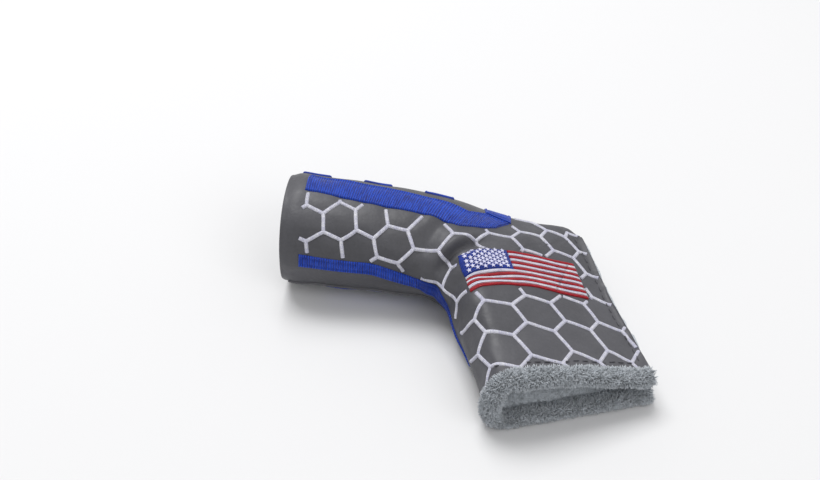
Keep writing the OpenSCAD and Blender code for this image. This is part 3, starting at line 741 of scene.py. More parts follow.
def plush_fleece(name, deep, bright):
    """Knitted polyester plush: a soft upright pile, dull, paler where the tips catch the light."""
    mat, t = new_material(name)
    at = add(t, "ShaderNodeTexCoord").outputs["Object"]
    clump = add(t, "ShaderNodeTexNoise", {"Vector": at, "Scale": per_mm(2.6), "Detail": 4.0,
                                          "Roughness": 0.7})
    fibre = add(t, "ShaderNodeTexNoise", {"Vector": at, "Scale": per_mm(0.7), "Detail": 2.0})
    tone = add(t, "ShaderNodeMath", {0: fibre.outputs["Fac"], 1: 0.4, 2: clump.outputs["Fac"]},
               operation="MULTIPLY_ADD")
    pile = add(t, "ShaderNodeValToRGB", {"Fac": tone.outputs[0]})
    pile.color_ramp.elements[0].position, pile.color_ramp.elements[1].position = 0.5, 0.9
    pile.color_ramp.elements[0].color, pile.color_ramp.elements[1].color = colour(deep), colour(bright)
    bump = add(t, "ShaderNodeBump", {"Height": tone.outputs[0], "Strength": 0.9, "Distance": 0.0012})
    shader = add(t, "ShaderNodeBsdfPrincipled", {"Base Color": pile.outputs[0], "Roughness": 0.95, "IOR": 1.5,
                                                 "Specular IOR Level": 0.2, "Sheen Weight": 0.5,
                                                 "Sheen Roughness": 0.6, "Normal": bump.outputs[0]})
    add(t, "ShaderNodeOutputMaterial", {"Surface": shader.outputs[0]})
    return mat


def open_cell_foam(name):
    """Polyurethane foam, cut from sheet: matt grey with open cells, with painted shade darkening the cell
    pits.
    """
    mat, t = new_material(name)
    at = add(t, "ShaderNodeTexCoord").outputs["Object"]
    cells = add(t, "ShaderNodeTexVoronoi", {"Vector": at, "Scale": per_mm(0.9)})
    bump = add(t, "ShaderNodeBump", {"Height": cells.outputs["Distance"], "Strength": 0.8,
                                     "Distance": 0.0005})
    # Painted shade: the colour is darker in the cell pits, where the bump is lowest, and paler on the cell
    # walls.
    hollow_shade_tint = add(t, "ShaderNodeValToRGB", {"Fac": cells.outputs["Distance"]})
    hollow_shade_tint.color_ramp.elements[0].color, hollow_shade_tint.color_ramp.elements[1].color = colour("#5b5b5e"), colour("#88888b")
    shader = add(t, "ShaderNodeBsdfPrincipled",
                 {"Base Color": hollow_shade_tint.outputs[0], "Roughness": 0.95, "Normal": bump.outputs[0]})
    add(t, "ShaderNodeOutputMaterial", {"Surface": shader.outputs[0]})
    return mat


def woven_tape(name, deep, bright, loops):
    """Nylon closure tape: woven ground under a field of tiny hooks or loops, with painted highlight on their
    tops and painted shade between them.
    """
    mat, t = new_material(name)
    at = add(t, "ShaderNodeTexCoord").outputs["Object"]
    dots = add(t, "ShaderNodeTexVoronoi", {"Vector": at, "Scale": per_mm(loops), "Randomness": 0.35})
    bump = add(t, "ShaderNodeBump", {"Height": dots.outputs["Distance"], "Strength": 1.0, "Distance": 0.0006},
               invert=True)
    # Painted highlight and painted shade: the colour is bright on the raised hooks or loops and dark in the
    # woven ground between them.
    hollow_shade_tint = add(t, "ShaderNodeValToRGB", {"Fac": dots.outputs["Distance"]})
    hollow_shade_tint.color_ramp.elements[0].color, hollow_shade_tint.color_ramp.elements[1].color = colour(bright), colour(deep)
    shader = add(t, "ShaderNodeBsdfPrincipled",
                 {"Base Color": hollow_shade_tint.outputs[0], "Roughness": 0.7, "Normal": bump.outputs[0]})
    add(t, "ShaderNodeOutputMaterial", {"Surface": shader.outputs[0]})
    return mat


GREY_LEATHER = polyurethane_leather("pu_leather_grey", "#444448", "#56565b")
FLEECE = plush_fleece("polyester_plush_grey", "#8f959b", "#d2d8df")
FOAM = open_cell_foam("polyurethane_foam")
BLUE_THREAD = rayon_thread("rayon_thread_blue", "#001a70", "#0f48c4", 1.1, 0.5)
WHITE_THREAD = rayon_thread("rayon_thread_white", "#bcbcdc", "#fafaff", 0.5, 0.55)
RED_THREAD = rayon_thread("rayon_thread_red", "#840012", "#c80a24", 0.5, 0.5)
NAVY_THREAD = rayon_thread("rayon_thread_canton", "#001a66", "#0a3ab0", 0.5, 0.5)
STITCH_THREAD = rayon_thread("polyester_thread_grey", "#3a3a3f", "#6d6d74", 0.4, 0.6)
HOOK_TAPE = woven_tape("nylon_hook_tape", "#0c0c0e", "#2a2a2e", 1.3)
LOOP_TAPE = woven_tape("nylon_loop_tape", "#1a1a1d", "#3c3c42", 0.9)


# ---------------------------------------------------------------------------
# Walls: closed sheets between two depths
# ---------------------------------------------------------------------------
def wall(name, outer, inner, material, closed=-1, crisp=False):
    """A closed sheet from a net of outer and a net of inner points; rows up to closed join round."""
    n, m = outer.shape[:2]
    index = np.arange(n * m).reshape(n, m)
    if closed >= 0:
        index[: closed + 1, -1] = index[: closed + 1, 0]
    o, q = index, index + n * m
    faces = []
    for i in range(n - 1):
        for j in range(m - 1):
            faces.append((o[i, j], o[i, j + 1], o[i + 1, j + 1], o[i + 1, j]))
            faces.append((q[i, j], q[i + 1, j], q[i + 1, j + 1], q[i, j + 1]))
    for j in range(m - 1):
        faces.append((o[0, j], q[0, j], q[0, j + 1], o[0, j + 1]))
        faces.append((o[-1, j], o[-1, j + 1], q[-1, j + 1], q[-1, j]))
    for i in range(max(closed, 0), n - 1):
        faces.append((o[i, 0], o[i + 1, 0], q[i + 1, 0], q[i, 0]))
        faces.append((o[i, -1], q[i, -1], q[i + 1, -1], o[i + 1, -1]))
    verts = np.concatenate([outer.reshape(-1, 3), inner.reshape(-1, 3)])
    obj = mesh_object(name, verts, faces, material)
    tidy(obj)
    if crisp:
        obj.data.set_sharp_from_angle(angle=math.radians(50))
    return obj


def tidy(obj):
    """Drops loose points and turns the faces outwards."""
    bm = bmesh.new()
    bm.from_mesh(obj.data)
    bmesh.ops.delete(bm, geom=[v for v in bm.verts if not v.link_faces], context="VERTS")
    bmesh.ops.remove_doubles(bm, verts=bm.verts, dist=1e-7)
    bmesh.ops.recalc_face_normals(bm, faces=bm.faces)
    bm.to_mesh(obj.data)
    bm.free()
    obj.data.update()


def fixed_u(s):
    """Loop places of one row of the fixed wall: all the back, then the front as far as the fold."""
    end = u_of_fold(s)
    back = np.linspace(0, 0.5, HALF + 1)
    front = 0.5 + (end - 0.5) * np.linspace(0, 1, HALF + 1)[1:]
    return np.concatenate([back, front])


def show_past(points, s, u_row, show):
    """Pushes the ends of the rows out past the heel edge."""
    out = points.copy()
    h = heading(s)
    k = opened(s) * show
    for j in (0, -1):
        past = np.where(abs(u_row[:, j] - round(float(u_row[0, j]))) < 1e-6, 1.0, 0.0) * k
        out[:, j, :2] += h * past[:, None]
    return out


def fixed_wall(name, row0, depth_a, depth_b, material, show=0.0):
    """One ply of the fixed cover, from row0 of the net to the mouth, between two depths."""
    s = ROWS[row0:]
    u = np.array([fixed_u(x) for x in s])
    outer, inner = (show_past(sample(s[:, None], u, -d), s, u, show) for d in (depth_a, depth_b))
    for net in (outer, inner):
        net[..., 2] = np.maximum(net[..., 2], FLOOR_GAP)
    return wall(name, outer, inner, material, closed=CLOSED - row0, crisp=True)


FLAP_ROWS = np.concatenate([[HINGE_S + 0.5, HINGE_S + 1.5, HINGE_S + 3], ROWS[ROWS > HINGE_S + 4]])
FLAP_COLS = 44


def flap_u(s):
    return mix(u_of_fold(s)[..., None], 1.0, np.linspace(0, 1, FLAP_COLS + 1))


def flap_wall(name, depth_a, depth_b, material, show=0.0):
    """One ply of the flap, from the fold to the heel edge, between two depths."""
    s = FLAP_ROWS
    u = flap_u(s)
    outer, inner = (show_past(sample(s[:, None], u, -d), s, u, show) for d in (depth_a, depth_b))
    return wall(name, outer, inner, material, crisp=True)


def on_cover(obj, node):
    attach(obj, "cover")
    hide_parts(node)
    return obj


def on_flap(obj, node):
    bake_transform(obj)
    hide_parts(node)
    return obj


def lining_depth(s):
    """The fleece is drawn thinner where it rolls out round the mouth."""
    return (PLY_T - 1.7 * ramp(s, MOUTH_S - 10, MOUTH_S))[:, None]


# The foam and the fleece start a few rows in from the toe rim, behind the plies that stand outside them.
FOAM_ROW, LINING_ROW = 4, 5
LINING_AT = LEATHER_T + FOAM_T
on_cover(fixed_wall("cover_leather", 0, 0.0, LEATHER_T, GREY_LEATHER), "outer_shell")
foam = on_cover(fixed_wall("cover_foam", FOAM_ROW, LEATHER_T, LINING_AT, FOAM), "foam_shell")
lining = fixed_wall("cover_lining", LINING_ROW, LINING_AT, lining_depth(ROWS[LINING_ROW:]), FLEECE, HEEL_SHOW)
on_cover(lining, "lining_shell")
on_flap(flap_wall("front_flap_leather", 0.0, LEATHER_T, GREY_LEATHER), "flap_leather")
foam = on_flap(flap_wall("front_flap_foam", LEATHER_T, LINING_AT, FOAM), "flap_foam")
lining = flap_wall("front_flap_lining", LINING_AT, lining_depth(FLAP_ROWS), FLEECE, HEEL_SHOW)
on_flap(lining, "flap_lining")


# ---------------------------------------------------------------------------
# Embroidery pads, threads and stitches
# ---------------------------------------------------------------------------
THREAD_H = 0.75
SHOULDER = (0.0, 0.15, 0.45, 0.9, 1.5, 2.2)


def edges_first(length, step, ends=(True, True)):
    """Fractions along a length: close together near the ends that have a shoulder, then even."""
    near = np.array([x for x in SHOULDER if x < 0.45 * length])
    low = near if ends[0] else np.array([0.0])
    high = length - (near if ends[1] else np.array([0.0]))
    count = max(2, int(round((high.min() - low.max()) / step)) + 1)
    return np.concatenate([low, np.linspace(low.max(), high.min(), count)[1:-1], high[::-1]]) / length


def lay_threads(mesh, lengthwise, crosswise, along):
    """Lays the threads of a pad: millimetres along them in U and across them in V."""
    pair = np.stack([lengthwise, crosswise] if along else [crosswise, lengthwise], -1).reshape(-1, 2)
    pair = np.concatenate([pair, pair])
    layer = mesh.uv_layers.new(name="UVMap")
    loops = np.empty(len(mesh.loops), int)
    mesh.loops.foreach_get("vertex_index", loops)
    layer.data.foreach_set("uv", pair[loops].astype(np.float32).ravel())


def pad(name, place, length, width, material, along=True, height=THREAD_H, border=0.0, ends=(True, True),
        step=1.6):
    """A raised satin pad with rounded edges, at the sections and loop places that place(a, b) gives.

    Threads lie along the length or across it. An end that meets another pad has no shoulder.
    """
    a, b = np.meshgrid(edges_first(length, step, ends), edges_first(width, min(step, width / 5)),
                       indexing="ij")
    from_start = a * length if ends[0] else np.full_like(a, FAR)
    from_finish = (1 - a) * length if ends[1] else np.full_like(a, FAR)
    edge = np.minimum(np.minimum(from_start, from_finish), np.minimum(b, 1 - b) * width)
    rise = -0.25 + (height + 0.25) * bow(edge / min(1.1, width * 0.4), 2.2)
    if border:
        ridge = 0.22 * np.exp(-(((edge - border / 2) / (0.4 * border)) ** 2))
        groove = 0.5 * np.exp(-(((edge - border) / 0.4) ** 2))
        rise += ridge - groove
    s, u = place(a, b)
    top, low = sample(s, u, rise), sample(s, u, np.full_like(rise, -0.45))
    obj = wall(name, top, low, material)
    lay_threads(obj.data, a * length, b * width, along)
    return obj


def joined(name, parts):
    """Several meshes as one piece."""
    whole = parts[0]
    with bpy.context.temp_override(active_object=whole, selected_editable_objects=parts, object=whole):
        bpy.ops.object.join()
    whole.name = name
    whole.data.name = name
    return whole


def on_head(x, a):
    """Section and loop place of a spot on the head, a millimetres from the sole fold, front positive."""
    x, a = np.broadcast_arrays(np.asarray(x, float), np.asarray(a, float))
    s, _ = plan_to(np.stack([x, HEAD_W - np.maximum(0, abs(a) - 8)], -1))
    s = np.minimum(s, CORNER_S - 0.1)
    arc = abs(a) / np.sin(np.radians(fan(s)))
    return s, np.where(a > 0, loop_place(s, arc, True), loop_place(s, arc, False))


def geometry_tree(name, values):
    """A tree that takes a mesh and the named values, and gives a mesh."""
    tree = bpy.data.node_groups.new(name, "GeometryNodeTree")
    tree.interface.new_socket("Geometry", in_out="OUTPUT", socket_type="NodeSocketGeometry")
    tree.interface.new_socket("Geometry", in_out="INPUT", socket_type="NodeSocketGeometry")
    for key, (kind, _) in values.items():
        tree.interface.new_socket(key, in_out="INPUT", socket_type=kind)
    return tree, add(tree, "NodeGroupInput")


def grown(name, source, build, values, material):
    """Runs a geometry tree on source and keeps the result as a plain mesh; source goes away."""
    tree, given = geometry_tree(name, values)
    made = build(tree, given.outputs)
    whole = add(tree, "GeometryNodeRealizeInstances", {"Geometry": made})
    last = add(tree, "GeometryNodeSetMaterial", {"Geometry": whole.outputs[0], "Material": material})
    add(tree, "NodeGroupOutput", {0: last.outputs[0]})
    mod = source.modifiers.new("grow", "NODES")
    mod.node_group = tree
    sockets = {i.name: i.identifier for i in tree.interface.items_tree if i.in_out == "INPUT"}
    for key, (_, value) in values.items():
        mod[sockets[key]] = value
    shaped = source.evaluated_get(bpy.context.evaluated_depsgraph_get())
    mesh = bpy.data.meshes.new_from_object(shaped)
    mesh.name = name
    obj = bpy.data.objects.new(name, mesh)
    bpy.context.scene.collection.objects.link(obj)
    source.modifiers.remove(mod)
    bpy.data.objects.remove(source)
    return obj


def line_mesh(name, lines):
    """Open lines, in millimetres, as one mesh of edges."""
    verts, edges, start = [], [], 0
    for line in lines:
        verts += (np.asarray(line) * MM).tolist()
        edges += [(start + i, start + i + 1) for i in range(len(line) - 1)]
        start += len(line)
    mesh = bpy.data.meshes.new(name)
    mesh.from_pydata(verts, edges, [])
    obj = bpy.data.objects.new(name, mesh)
    bpy.context.scene.collection.objects.link(obj)
    return obj


def cord_tree(tree, given):
    """A round cord along each line, with millimetres round it in U and along it in V."""
    curve = add(tree, "GeometryNodeMeshToCurve", {"Mesh": given["Geometry"]})
    run = add(tree, "GeometryNodeSplineParameter")
    kept = add(tree, "GeometryNodeCaptureAttribute", {0: curve.outputs[0]})
    kept.capture_items.new("FLOAT", "Run")
    tree.links.new(run.outputs["Length"], kept.inputs[1])
    ring = add(tree, "GeometryNodeCurvePrimitiveCircle",
               {"Resolution": given["Sides"], "Radius": given["Radius"]})
    turn = add(tree, "GeometryNodeCaptureAttribute", {0: ring.outputs[0]})
    turn.capture_items.new("FLOAT", "Turn")
    tree.links.new(add(tree, "GeometryNodeSplineParameter").outputs["Length"], turn.inputs[1])
    tube = add(tree, "GeometryNodeCurveToMesh", {"Curve": kept.outputs[0], "Profile Curve": turn.outputs[0],
                                                 "Fill Caps": True})
    v = add(tree, "ShaderNodeMath", {0: kept.outputs[1], 1: 1 / MM}, operation="MULTIPLY")
    u = add(tree, "ShaderNodeMath", {0: turn.outputs[1], 1: 1 / MM}, operation="MULTIPLY")
    pair = add(tree, "ShaderNodeCombineXYZ", {0: u.outputs[0], 1: v.outputs[0]})
    named = add(tree, "GeometryNodeStoreNamedAttribute", {"Geometry": tube.outputs[0], "Name": "UVMap"},
                data_type="FLOAT2", domain="CORNER")
    tree.links.new(pair.outputs[0], [i for i in named.inputs if i.name == "Value" and i.enabled][0])
    return add(tree, "GeometryNodeSetShadeSmooth", {"Geometry": named.outputs[0]}).outputs[0]


def cord_along(name, lines, radius, material, sides=8):
    return grown(name, line_mesh(name + "_lines", lines), cord_tree,
                 {"Sides": ("NodeSocketInt", sides), "Radius": ("NodeSocketFloat", radius * MM)}, material)


STITCH_PITCH, STITCH_THICK, STITCH_STRETCH = 4.2, 0.36, 4.2


def stitch_tree(tree, given):
    """One plump stitch at every pitch along the lines."""
    curve = add(tree, "GeometryNodeMeshToCurve", {"Mesh": given["Geometry"]})
    spaced = add(tree, "GeometryNodeResampleCurve", {"Curve": curve.outputs[0], "Length": given["Pitch"]},
                 mode="LENGTH")
    ball = add(tree, "GeometryNodeMeshUVSphere", {"Segments": 8, "Rings": 6, "Radius": given["Thickness"]})
    shape = add(tree, "GeometryNodeTransform",
                {"Geometry": ball.outputs[0], "Scale": (1.0, 1.0, STITCH_STRETCH)})
    tangent = add(tree, "GeometryNodeInputTangent")
    lay = add(tree, "FunctionNodeAlignRotationToVector", {"Vector": tangent.outputs[0]}, axis="Z")
    put = add(tree, "GeometryNodeInstanceOnPoints",
              {"Points": spaced.outputs[0], "Instance": shape.outputs[0], "Rotation": lay.outputs[0]})
    return add(tree, "GeometryNodeSetShadeSmooth", {"Geometry": put.outputs[0]}).outputs[0]


def stitches_along(name, lines, material):
    return grown(name, line_mesh(name + "_lines", lines), stitch_tree,
                 {"Pitch": ("NodeSocketFloat", STITCH_PITCH * MM),
                  "Thickness": ("NodeSocketFloat", STITCH_THICK * MM)}, material)


# Tufts to a square millimetre, and how long they are.
PILE_DENSITY, PILE_H = 5.5, 1.7


def pile_tree(tree, given):
    """Short leaning tufts all over the fleece, so that its outline looks furry."""
    spots = add(tree, "GeometryNodeDistributePointsOnFaces",
                {"Mesh": given["Geometry"], "Density": given["Density"], "Seed": given["Seed"]})
    tuft = add(tree, "GeometryNodeMeshCone", {"Vertices": 4, "Side Segments": 1, "Fill Segments": 1,
                                              "Radius Top": 0.00008, "Radius Bottom": 0.00034,
                                              "Depth": given["Height"]})
    size = add(tree, "FunctionNodeRandomValue", {"Seed": 4}, data_type="FLOAT")
    size.inputs[2].default_value, size.inputs[3].default_value = 0.6, 1.25
    lean = add(tree, "FunctionNodeRandomValue", {"Seed": 9}, data_type="FLOAT_VECTOR")
    lean.inputs[0].default_value, lean.inputs[1].default_value = (-0.75, -0.75, -3.1), (0.75, 0.75, 3.1)
    put = add(tree, "GeometryNodeInstanceOnPoints",
              {"Points": spots.outputs["Points"], "Instance": tuft.outputs[0],
               "Rotation": spots.outputs["Rotation"], "Scale": size.outputs[1]})
    turned = add(tree, "GeometryNodeRotateInstances",
                 {"Instances": put.outputs[0], "Rotation": lean.outputs[0]})
    both = add(tree, "GeometryNodeJoinGeometry")
    tree.links.new(given["Geometry"], both.inputs[0])
    tree.links.new(turned.outputs[0], both.inputs[0])
    return add(tree, "GeometryNodeSetShadeSmooth", {"Geometry": both.outputs[0]}).outputs[0]


def with_pile(name, obj, material, seed):
    """Plush with its tufts; those underneath are pressed flat where the cover lies."""
    plush = grown(name, obj, pile_tree, {"Density": ("NodeSocketFloat", PILE_DENSITY * 1e6),
                                         "Seed": ("NodeSocketInt", seed),
                                         "Height": ("NodeSocketFloat", PILE_H * MM)}, material)
    places = np.empty(len(plush.data.vertices) * 3, np.float32)
    plush.data.vertices.foreach_get("co", places)
    places[2::3] = np.maximum(places[2::3], FLOOR_GAP * MM)
    plush.data.vertices.foreach_set("co", places)
    return plush


def star_tree(tree, given):
    """A raised five-pointed star at every point, upright in the flag and square to the leather."""
    star = add(tree, "GeometryNodeCurveStar", {"Points": 5, "Inner Radius": given["Inner"],
                                               "Outer Radius": given["Outer"]})
    up = add(tree, "GeometryNodeTransform",
             {"Geometry": star.outputs[0], "Rotation": (0.0, 0.0, math.pi / 10)})
    flat = add(tree, "GeometryNodeFillCurve", {"Curve": up.outputs[0]})
    tall = add(tree, "GeometryNodeExtrudeMesh", {"Mesh": flat.outputs[0], "Offset Scale": given["Rise"],
                                                 "Individual": False})
    under = add(tree, "GeometryNodeFlipFaces", {"Mesh": flat.outputs[0]})
    both = add(tree, "GeometryNodeJoinGeometry")
    tree.links.new(tall.outputs[0], both.inputs[0])
    tree.links.new(under.outputs[0], both.inputs[0])
    whole = add(tree, "GeometryNodeMergeByDistance", {"Geometry": both.outputs[0], "Distance": 0.000005})
    out = add(tree, "GeometryNodeInputNamedAttribute", {"Name": "out"}, data_type="FLOAT_VECTOR")
    top = add(tree, "GeometryNodeInputNamedAttribute", {"Name": "top"}, data_type="FLOAT_VECTOR")
    square = add(tree, "FunctionNodeAxesToRotation",
                 {"Primary Axis": out.outputs[0], "Secondary Axis": top.outputs[0]},
                 primary_axis="Z", secondary_axis="Y")
    spots = add(tree, "GeometryNodeMeshToPoints", {"Mesh": given["Geometry"]})
    put = add(tree, "GeometryNodeInstanceOnPoints", {"Points": spots.outputs[0], "Instance": whole.outputs[0],
                                                     "Rotation": square.outputs[0]})
    return put.outputs[0]


# Bands and bars of blue satin on the head, measured from the sole fold, front positive.
BAND_X0, BAND_X1 = TOE_X + TOE_MARGIN, CORNER[0] - 34
BAND_LEN = BAND_X1 - BAND_X0
BAND_SKEW = 9
BAR_FRONT, BAR_BACK = 22.6, -18.6
BAR_W, BAR_COUNT = 14.0, 4
LAST_BAR_X = CORNER[0] - 37.5
BAR_PITCH = (LAST_BAR_X - TOE_X - 12) / (BAR_COUNT - 1)


def front_band(a, b):
    x = mix(BAND_X0, CORNER[0] - 38.5 + 7 * b, a)
    return on_head(x, mix(band_low(x), mix(30, 23.2, clamp01((x - 8) / 10)), b))


def back_band(a, b):
    return on_head(mix(BAND_X0, BAND_X1 - BAND_SKEW + BAND_SKEW * (1 - b), a), mix(-19, -28, b))


def sole_bar(i):
    x0 = LAST_BAR_X - i * BAR_PITCH - BAR_W / 2
    return lambda a, b: on_head(x0 + BAR_W * b, mix(BAR_FRONT, BAR_BACK, a))


on_cover(pad("edge_band_front_satin", front_band, BAND_LEN, 15, BLUE_THREAD, along=False, border=1.8),
         "edge_band_front")
on_cover(pad("edge_band_back_satin", back_band, BAND_LEN - BAND_SKEW, 9, BLUE_THREAD, border=1.7, height=0.6),
         "edge_band_back")
bars = [pad("bar", sole_bar(i), BAR_FRONT - BAR_BACK, BAR_W, BLUE_THREAD, along=False, border=1.6)
        for i in range(BAR_COUNT)]
on_cover(joined("sole_bars_satin", bars), "sole_bars")


def on_inside(s, b):
    """A spot b millimetres from the innermost line of the L, front positive."""
    on_front = loop_place(s, full_arc(s, True) - b, True)
    on_back = loop_place(s, full_arc(s, False) + b, False)
    return s, np.where(b >= 0, on_front, on_back)


# First and last section of the two trims.
TRIM_FRONT, TRIM_BACK = (TOE_S + TOE_MARGIN, 86), (TOE_S + 20, 41.5)


def front_trim(a, b):
    s = mix(*TRIM_FRONT, a)
    return on_inside(s, trim_hi(s) - trim_w(s) * (1 - b))


def back_trim(a, b):
    s = mix(*TRIM_BACK, a)
    return on_inside(s, -16.8 - back_trim_w(s) * (1 - b))


on_cover(pad("inner_trim_front_satin", front_trim, 77 - TOE_S, 6.0, BLUE_THREAD, along=False, height=0.7,
             step=1.2, border=1.5), "inner_trim_front")
on_cover(pad("inner_trim_back_satin", back_trim, 21.5 - TOE_S, 5.0, BLUE_THREAD, along=False, height=0.6,
             step=1.2), "inner_trim_back")


# The flag: stripes cross the fold, so each is in two pieces that meet on it.
def flag_plan(u, v):
    """Plan place u along the flag from the canton's end and v down from its top row."""
    a = FLAG_C[0] - FLAG_LEN / 2 + u
    b = FLAG_C[1] - FLAG_H / 2 + v + flag_wave(u)
    return a[..., None] * ACROSS + b[..., None] * ALONG


def front_place(p):
    """Section and loop place on the front at a plan place."""
    s, r = plan_to(p)
    return s, 1 - np.arccos(np.clip(2 * r / reach(s) - 1, -1, 1)) / (2 * np.pi)


def on_flag(u, v):
    u, v = np.broadcast_arrays(np.asarray(u, float), np.asarray(v, float))
    return front_place(flag_plan(u, v))


def flag_fold(v):
    """Where each level of the flag meets the fold."""
    u = np.linspace(0, FLAG_LEN, 400)
    out = []
    for level in np.ravel(v):
        s, r = plan_to(flag_plan(u, np.full_like(u, level)))
        side = r - fold_r(s)
        crossings = np.nonzero((side[:-1] < 0) & (side[1:] >= 0))[0]
        if len(crossings):
            k = crossings[-1]
            out.append(u[k] + (u[1] - u[0]) * side[k] / (side[k] - side[k + 1]))
        else:
            out.append(FLAG_LEN)
    return np.array(out).reshape(np.shape(v))


STRIPE_GAP = 0.03


def stripe(i, flap):
    """One side of a stripe, or None where the whole stripe is on the fixed front."""
    v0, v1 = i * STRIPE_H + STRIPE_GAP, (i + 1) * STRIPE_H - STRIPE_GAP
    cut0, cut1 = flag_fold(np.array([v0, v1]))
    start = CANTON_U if i < CANTON_STRIPES else 0.0
    whole = cut0 + cut1 > 2 * FLAG_LEN - 2
    if whole and flap:
        return None
    if whole:
        cut0 = cut1 = FLAG_LEN

    def place(a, b):
        v = mix(v0, v1, b)
        cut = mix(cut0, cut1, b)
        return on_flag(mix(cut, FLAG_LEN, a) if flap else mix(start, cut, a), v)

    middle = (cut0 + cut1) / 2
    length = FLAG_LEN - middle if flap else middle - start
    thread = RED_THREAD if i % 2 == 0 else WHITE_THREAD
    ends = (False, True) if flap else (True, whole)
    return pad("stripe", place, length, STRIPE_H - 2 * STRIPE_GAP, thread, ends=ends)


for flap in (False, True):
    for first, tone in ((0, "red"), (1, "white")):
        parts = [p for p in (stripe(i, flap) for i in range(first, STRIPES, 2)) if p]
        if flap:
            on_flap(joined(f"flap_flag_{tone}_satin", parts), f"flap_flag_{tone}")
        else:
            on_cover(joined(f"flag_{tone}_satin", parts), f"flag_{tone}")

on_cover(pad("flag_canton_satin", lambda a, b: on_flag(CANTON_U * a, CANTON_H * b), CANTON_U, CANTON_H,
             NAVY_THREAD, step=1.0), "flag_canton")

# Stars: rows of six and five in turn, standing on the canton.
STAR_ROWS, STAR_COLS, STAR_LIFT = 9, 6, THREAD_H - 0.02
star_u, star_v = np.array([(1.1 + (k + 0.5 + 0.5 * (row % 2)) * (CANTON_U - 2.2) / STAR_COLS,
                            0.5 + (row + 0.55) * (CANTON_H - 1.4) / STAR_ROWS)
                           for row in range(STAR_ROWS) for k in range(STAR_COLS - row % 2)]).T
s_star, u_star = on_flag(star_u, star_v)
here = sample(s_star, u_star, STAR_LIFT)
there = sample(*on_flag(star_u, star_v + 0.5), STAR_LIFT)
spot_mesh = bpy.data.meshes.new("star_spots")
out_dir = sample(s_star, u_star, 2.0) - sample(s_star, u_star, 1.0)
spot_mesh.from_pydata((here * MM).tolist(), [], [])
for key, values in (("out", out_dir), ("top", here - there)):
    layer = spot_mesh.attributes.new(key, "FLOAT_VECTOR", "POINT")
    layer.data.foreach_set("vector", values.astype(np.float32).ravel())
spots = bpy.data.objects.new("star_spots", spot_mesh)
bpy.context.scene.collection.objects.link(spots)
STAR = {"Inner": ("NodeSocketFloat", 0.00052), "Outer": ("NodeSocketFloat", 0.00122),
        "Rise": ("NodeSocketFloat", 0.0003)}
on_cover(grown("flag_stars_satin", spots, star_tree, STAR, WHITE_THREAD), "flag_stars")

# Honeycomb lines of white thread
COMB_LIFT, COMB_RADIUS = -0.3, 1.0


def comb_thread(name, want):
    lines = [sample(s, u, COMB_LIFT) for s, u in COMB[want]]
    return cord_along(name, lines, COMB_RADIUS, WHITE_THREAD)


on_cover(comb_thread("honeycomb_front_thread", 0), "honeycomb_front")
on_cover(comb_thread("honeycomb_back_thread", 2), "honeycomb_back")
on_flap(comb_thread("flap_honeycomb_thread", 1), "flap_honeycomb")

# Seam down the inside of the L, just on the back
SEAM_U, SEAM_RADIUS = 0.42, 0.85
seam_s = np.linspace(TOE_S + 3, MOUTH_S - 1, 120)
seam = sample(seam_s, np.full_like(seam_s, SEAM_U), 0.1)
on_cover(cord_along("inner_seam_piping", [seam], SEAM_RADIUS, GREY_LEATHER, sides=10),
         "inner_seam")

# Topstitching along the mouth and the heel edge
STITCH_LIFT, HEEL_STITCHES = 0.22, 18


def plan_line(a, b):
    """A line over the front between two plan places."""
    s, u = front_place(mix(a, b, np.linspace(0, 1, 40)[:, None]))
    return sample(s, u, STITCH_LIFT)


def mouth_line(r0, r1):
    row = origin(np.array(MOUTH_S - 5.2))
    return plan_line(row + r0 * ACROSS, row + r1 * ACROSS)


heel_col = (NECK_W - 3.2) * ACROSS
q_top, q_end = CORNER_Q - 15, CORNER_Q - 14 - HEEL_STITCHES * STITCH_PITCH
heel_line = plan_line(heel_col - q_top * ALONG, heel_col - q_end * ALONG)
flap_lines = [heel_line, mouth_line(FOLD_AT + 0.15 + 4, NECK_W - 8)]
on_flap(stitches_along("flap_topstitch_thread", flap_lines, STITCH_THREAD), "flap_topstitch")
on_cover(stitches_along("cover_topstitch_thread", [mouth_line(6.7, 11)], STITCH_THREAD),
         "shell_topstitch")


# Closure tapes
def tape_net(front, depth):
    """A straight tape along the heel edge, so far proud of the fleece that it is sewn to."""
    s, r = np.meshgrid(np.linspace(CORNER_S + 34, MOUTH_S - 7, 26),
                       np.linspace(NECK_W - 17, NECK_W - 5, 12), indexing="ij")
    plan = origin(s) + r[..., None] * heading(s) + SHIFT[:2]
    rows, u = np.meshgrid(np.linspace(CORNER_S + 26, MOUTH_S, 70), np.linspace(0, 0.26, 70), indexing="ij")
    fleece = sample(rows, 1 - u if front else u, -PLY_T).reshape(-1, 3)
    near = np.argsort(np.linalg.norm(plan[..., None, :] - fleece[:, :2], axis=-1), axis=-1)[..., :6]
    z = fleece[near, 2].min(-1) - depth if front else fleece[near, 2].max(-1) + depth
    return np.concatenate([plan, z[..., None]], -1)


on_cover(wall("loop_tape_woven", tape_net(False, 1.0), tape_net(False, -1.2), LOOP_TAPE),
         "loop_tape")
on_flap(wall("hook_tape_woven", tape_net(True, -1.2), tape_net(True, 1.0), HOOK_TAPE),
        "hook_tape")


# Toe end: leather, foam and fleece discs inside the rim
TOE_DOME = 2.2
DISC_RINGS = (1.0, 0.97, 0.9, 0.78, 0.62, 0.42, 0.2)


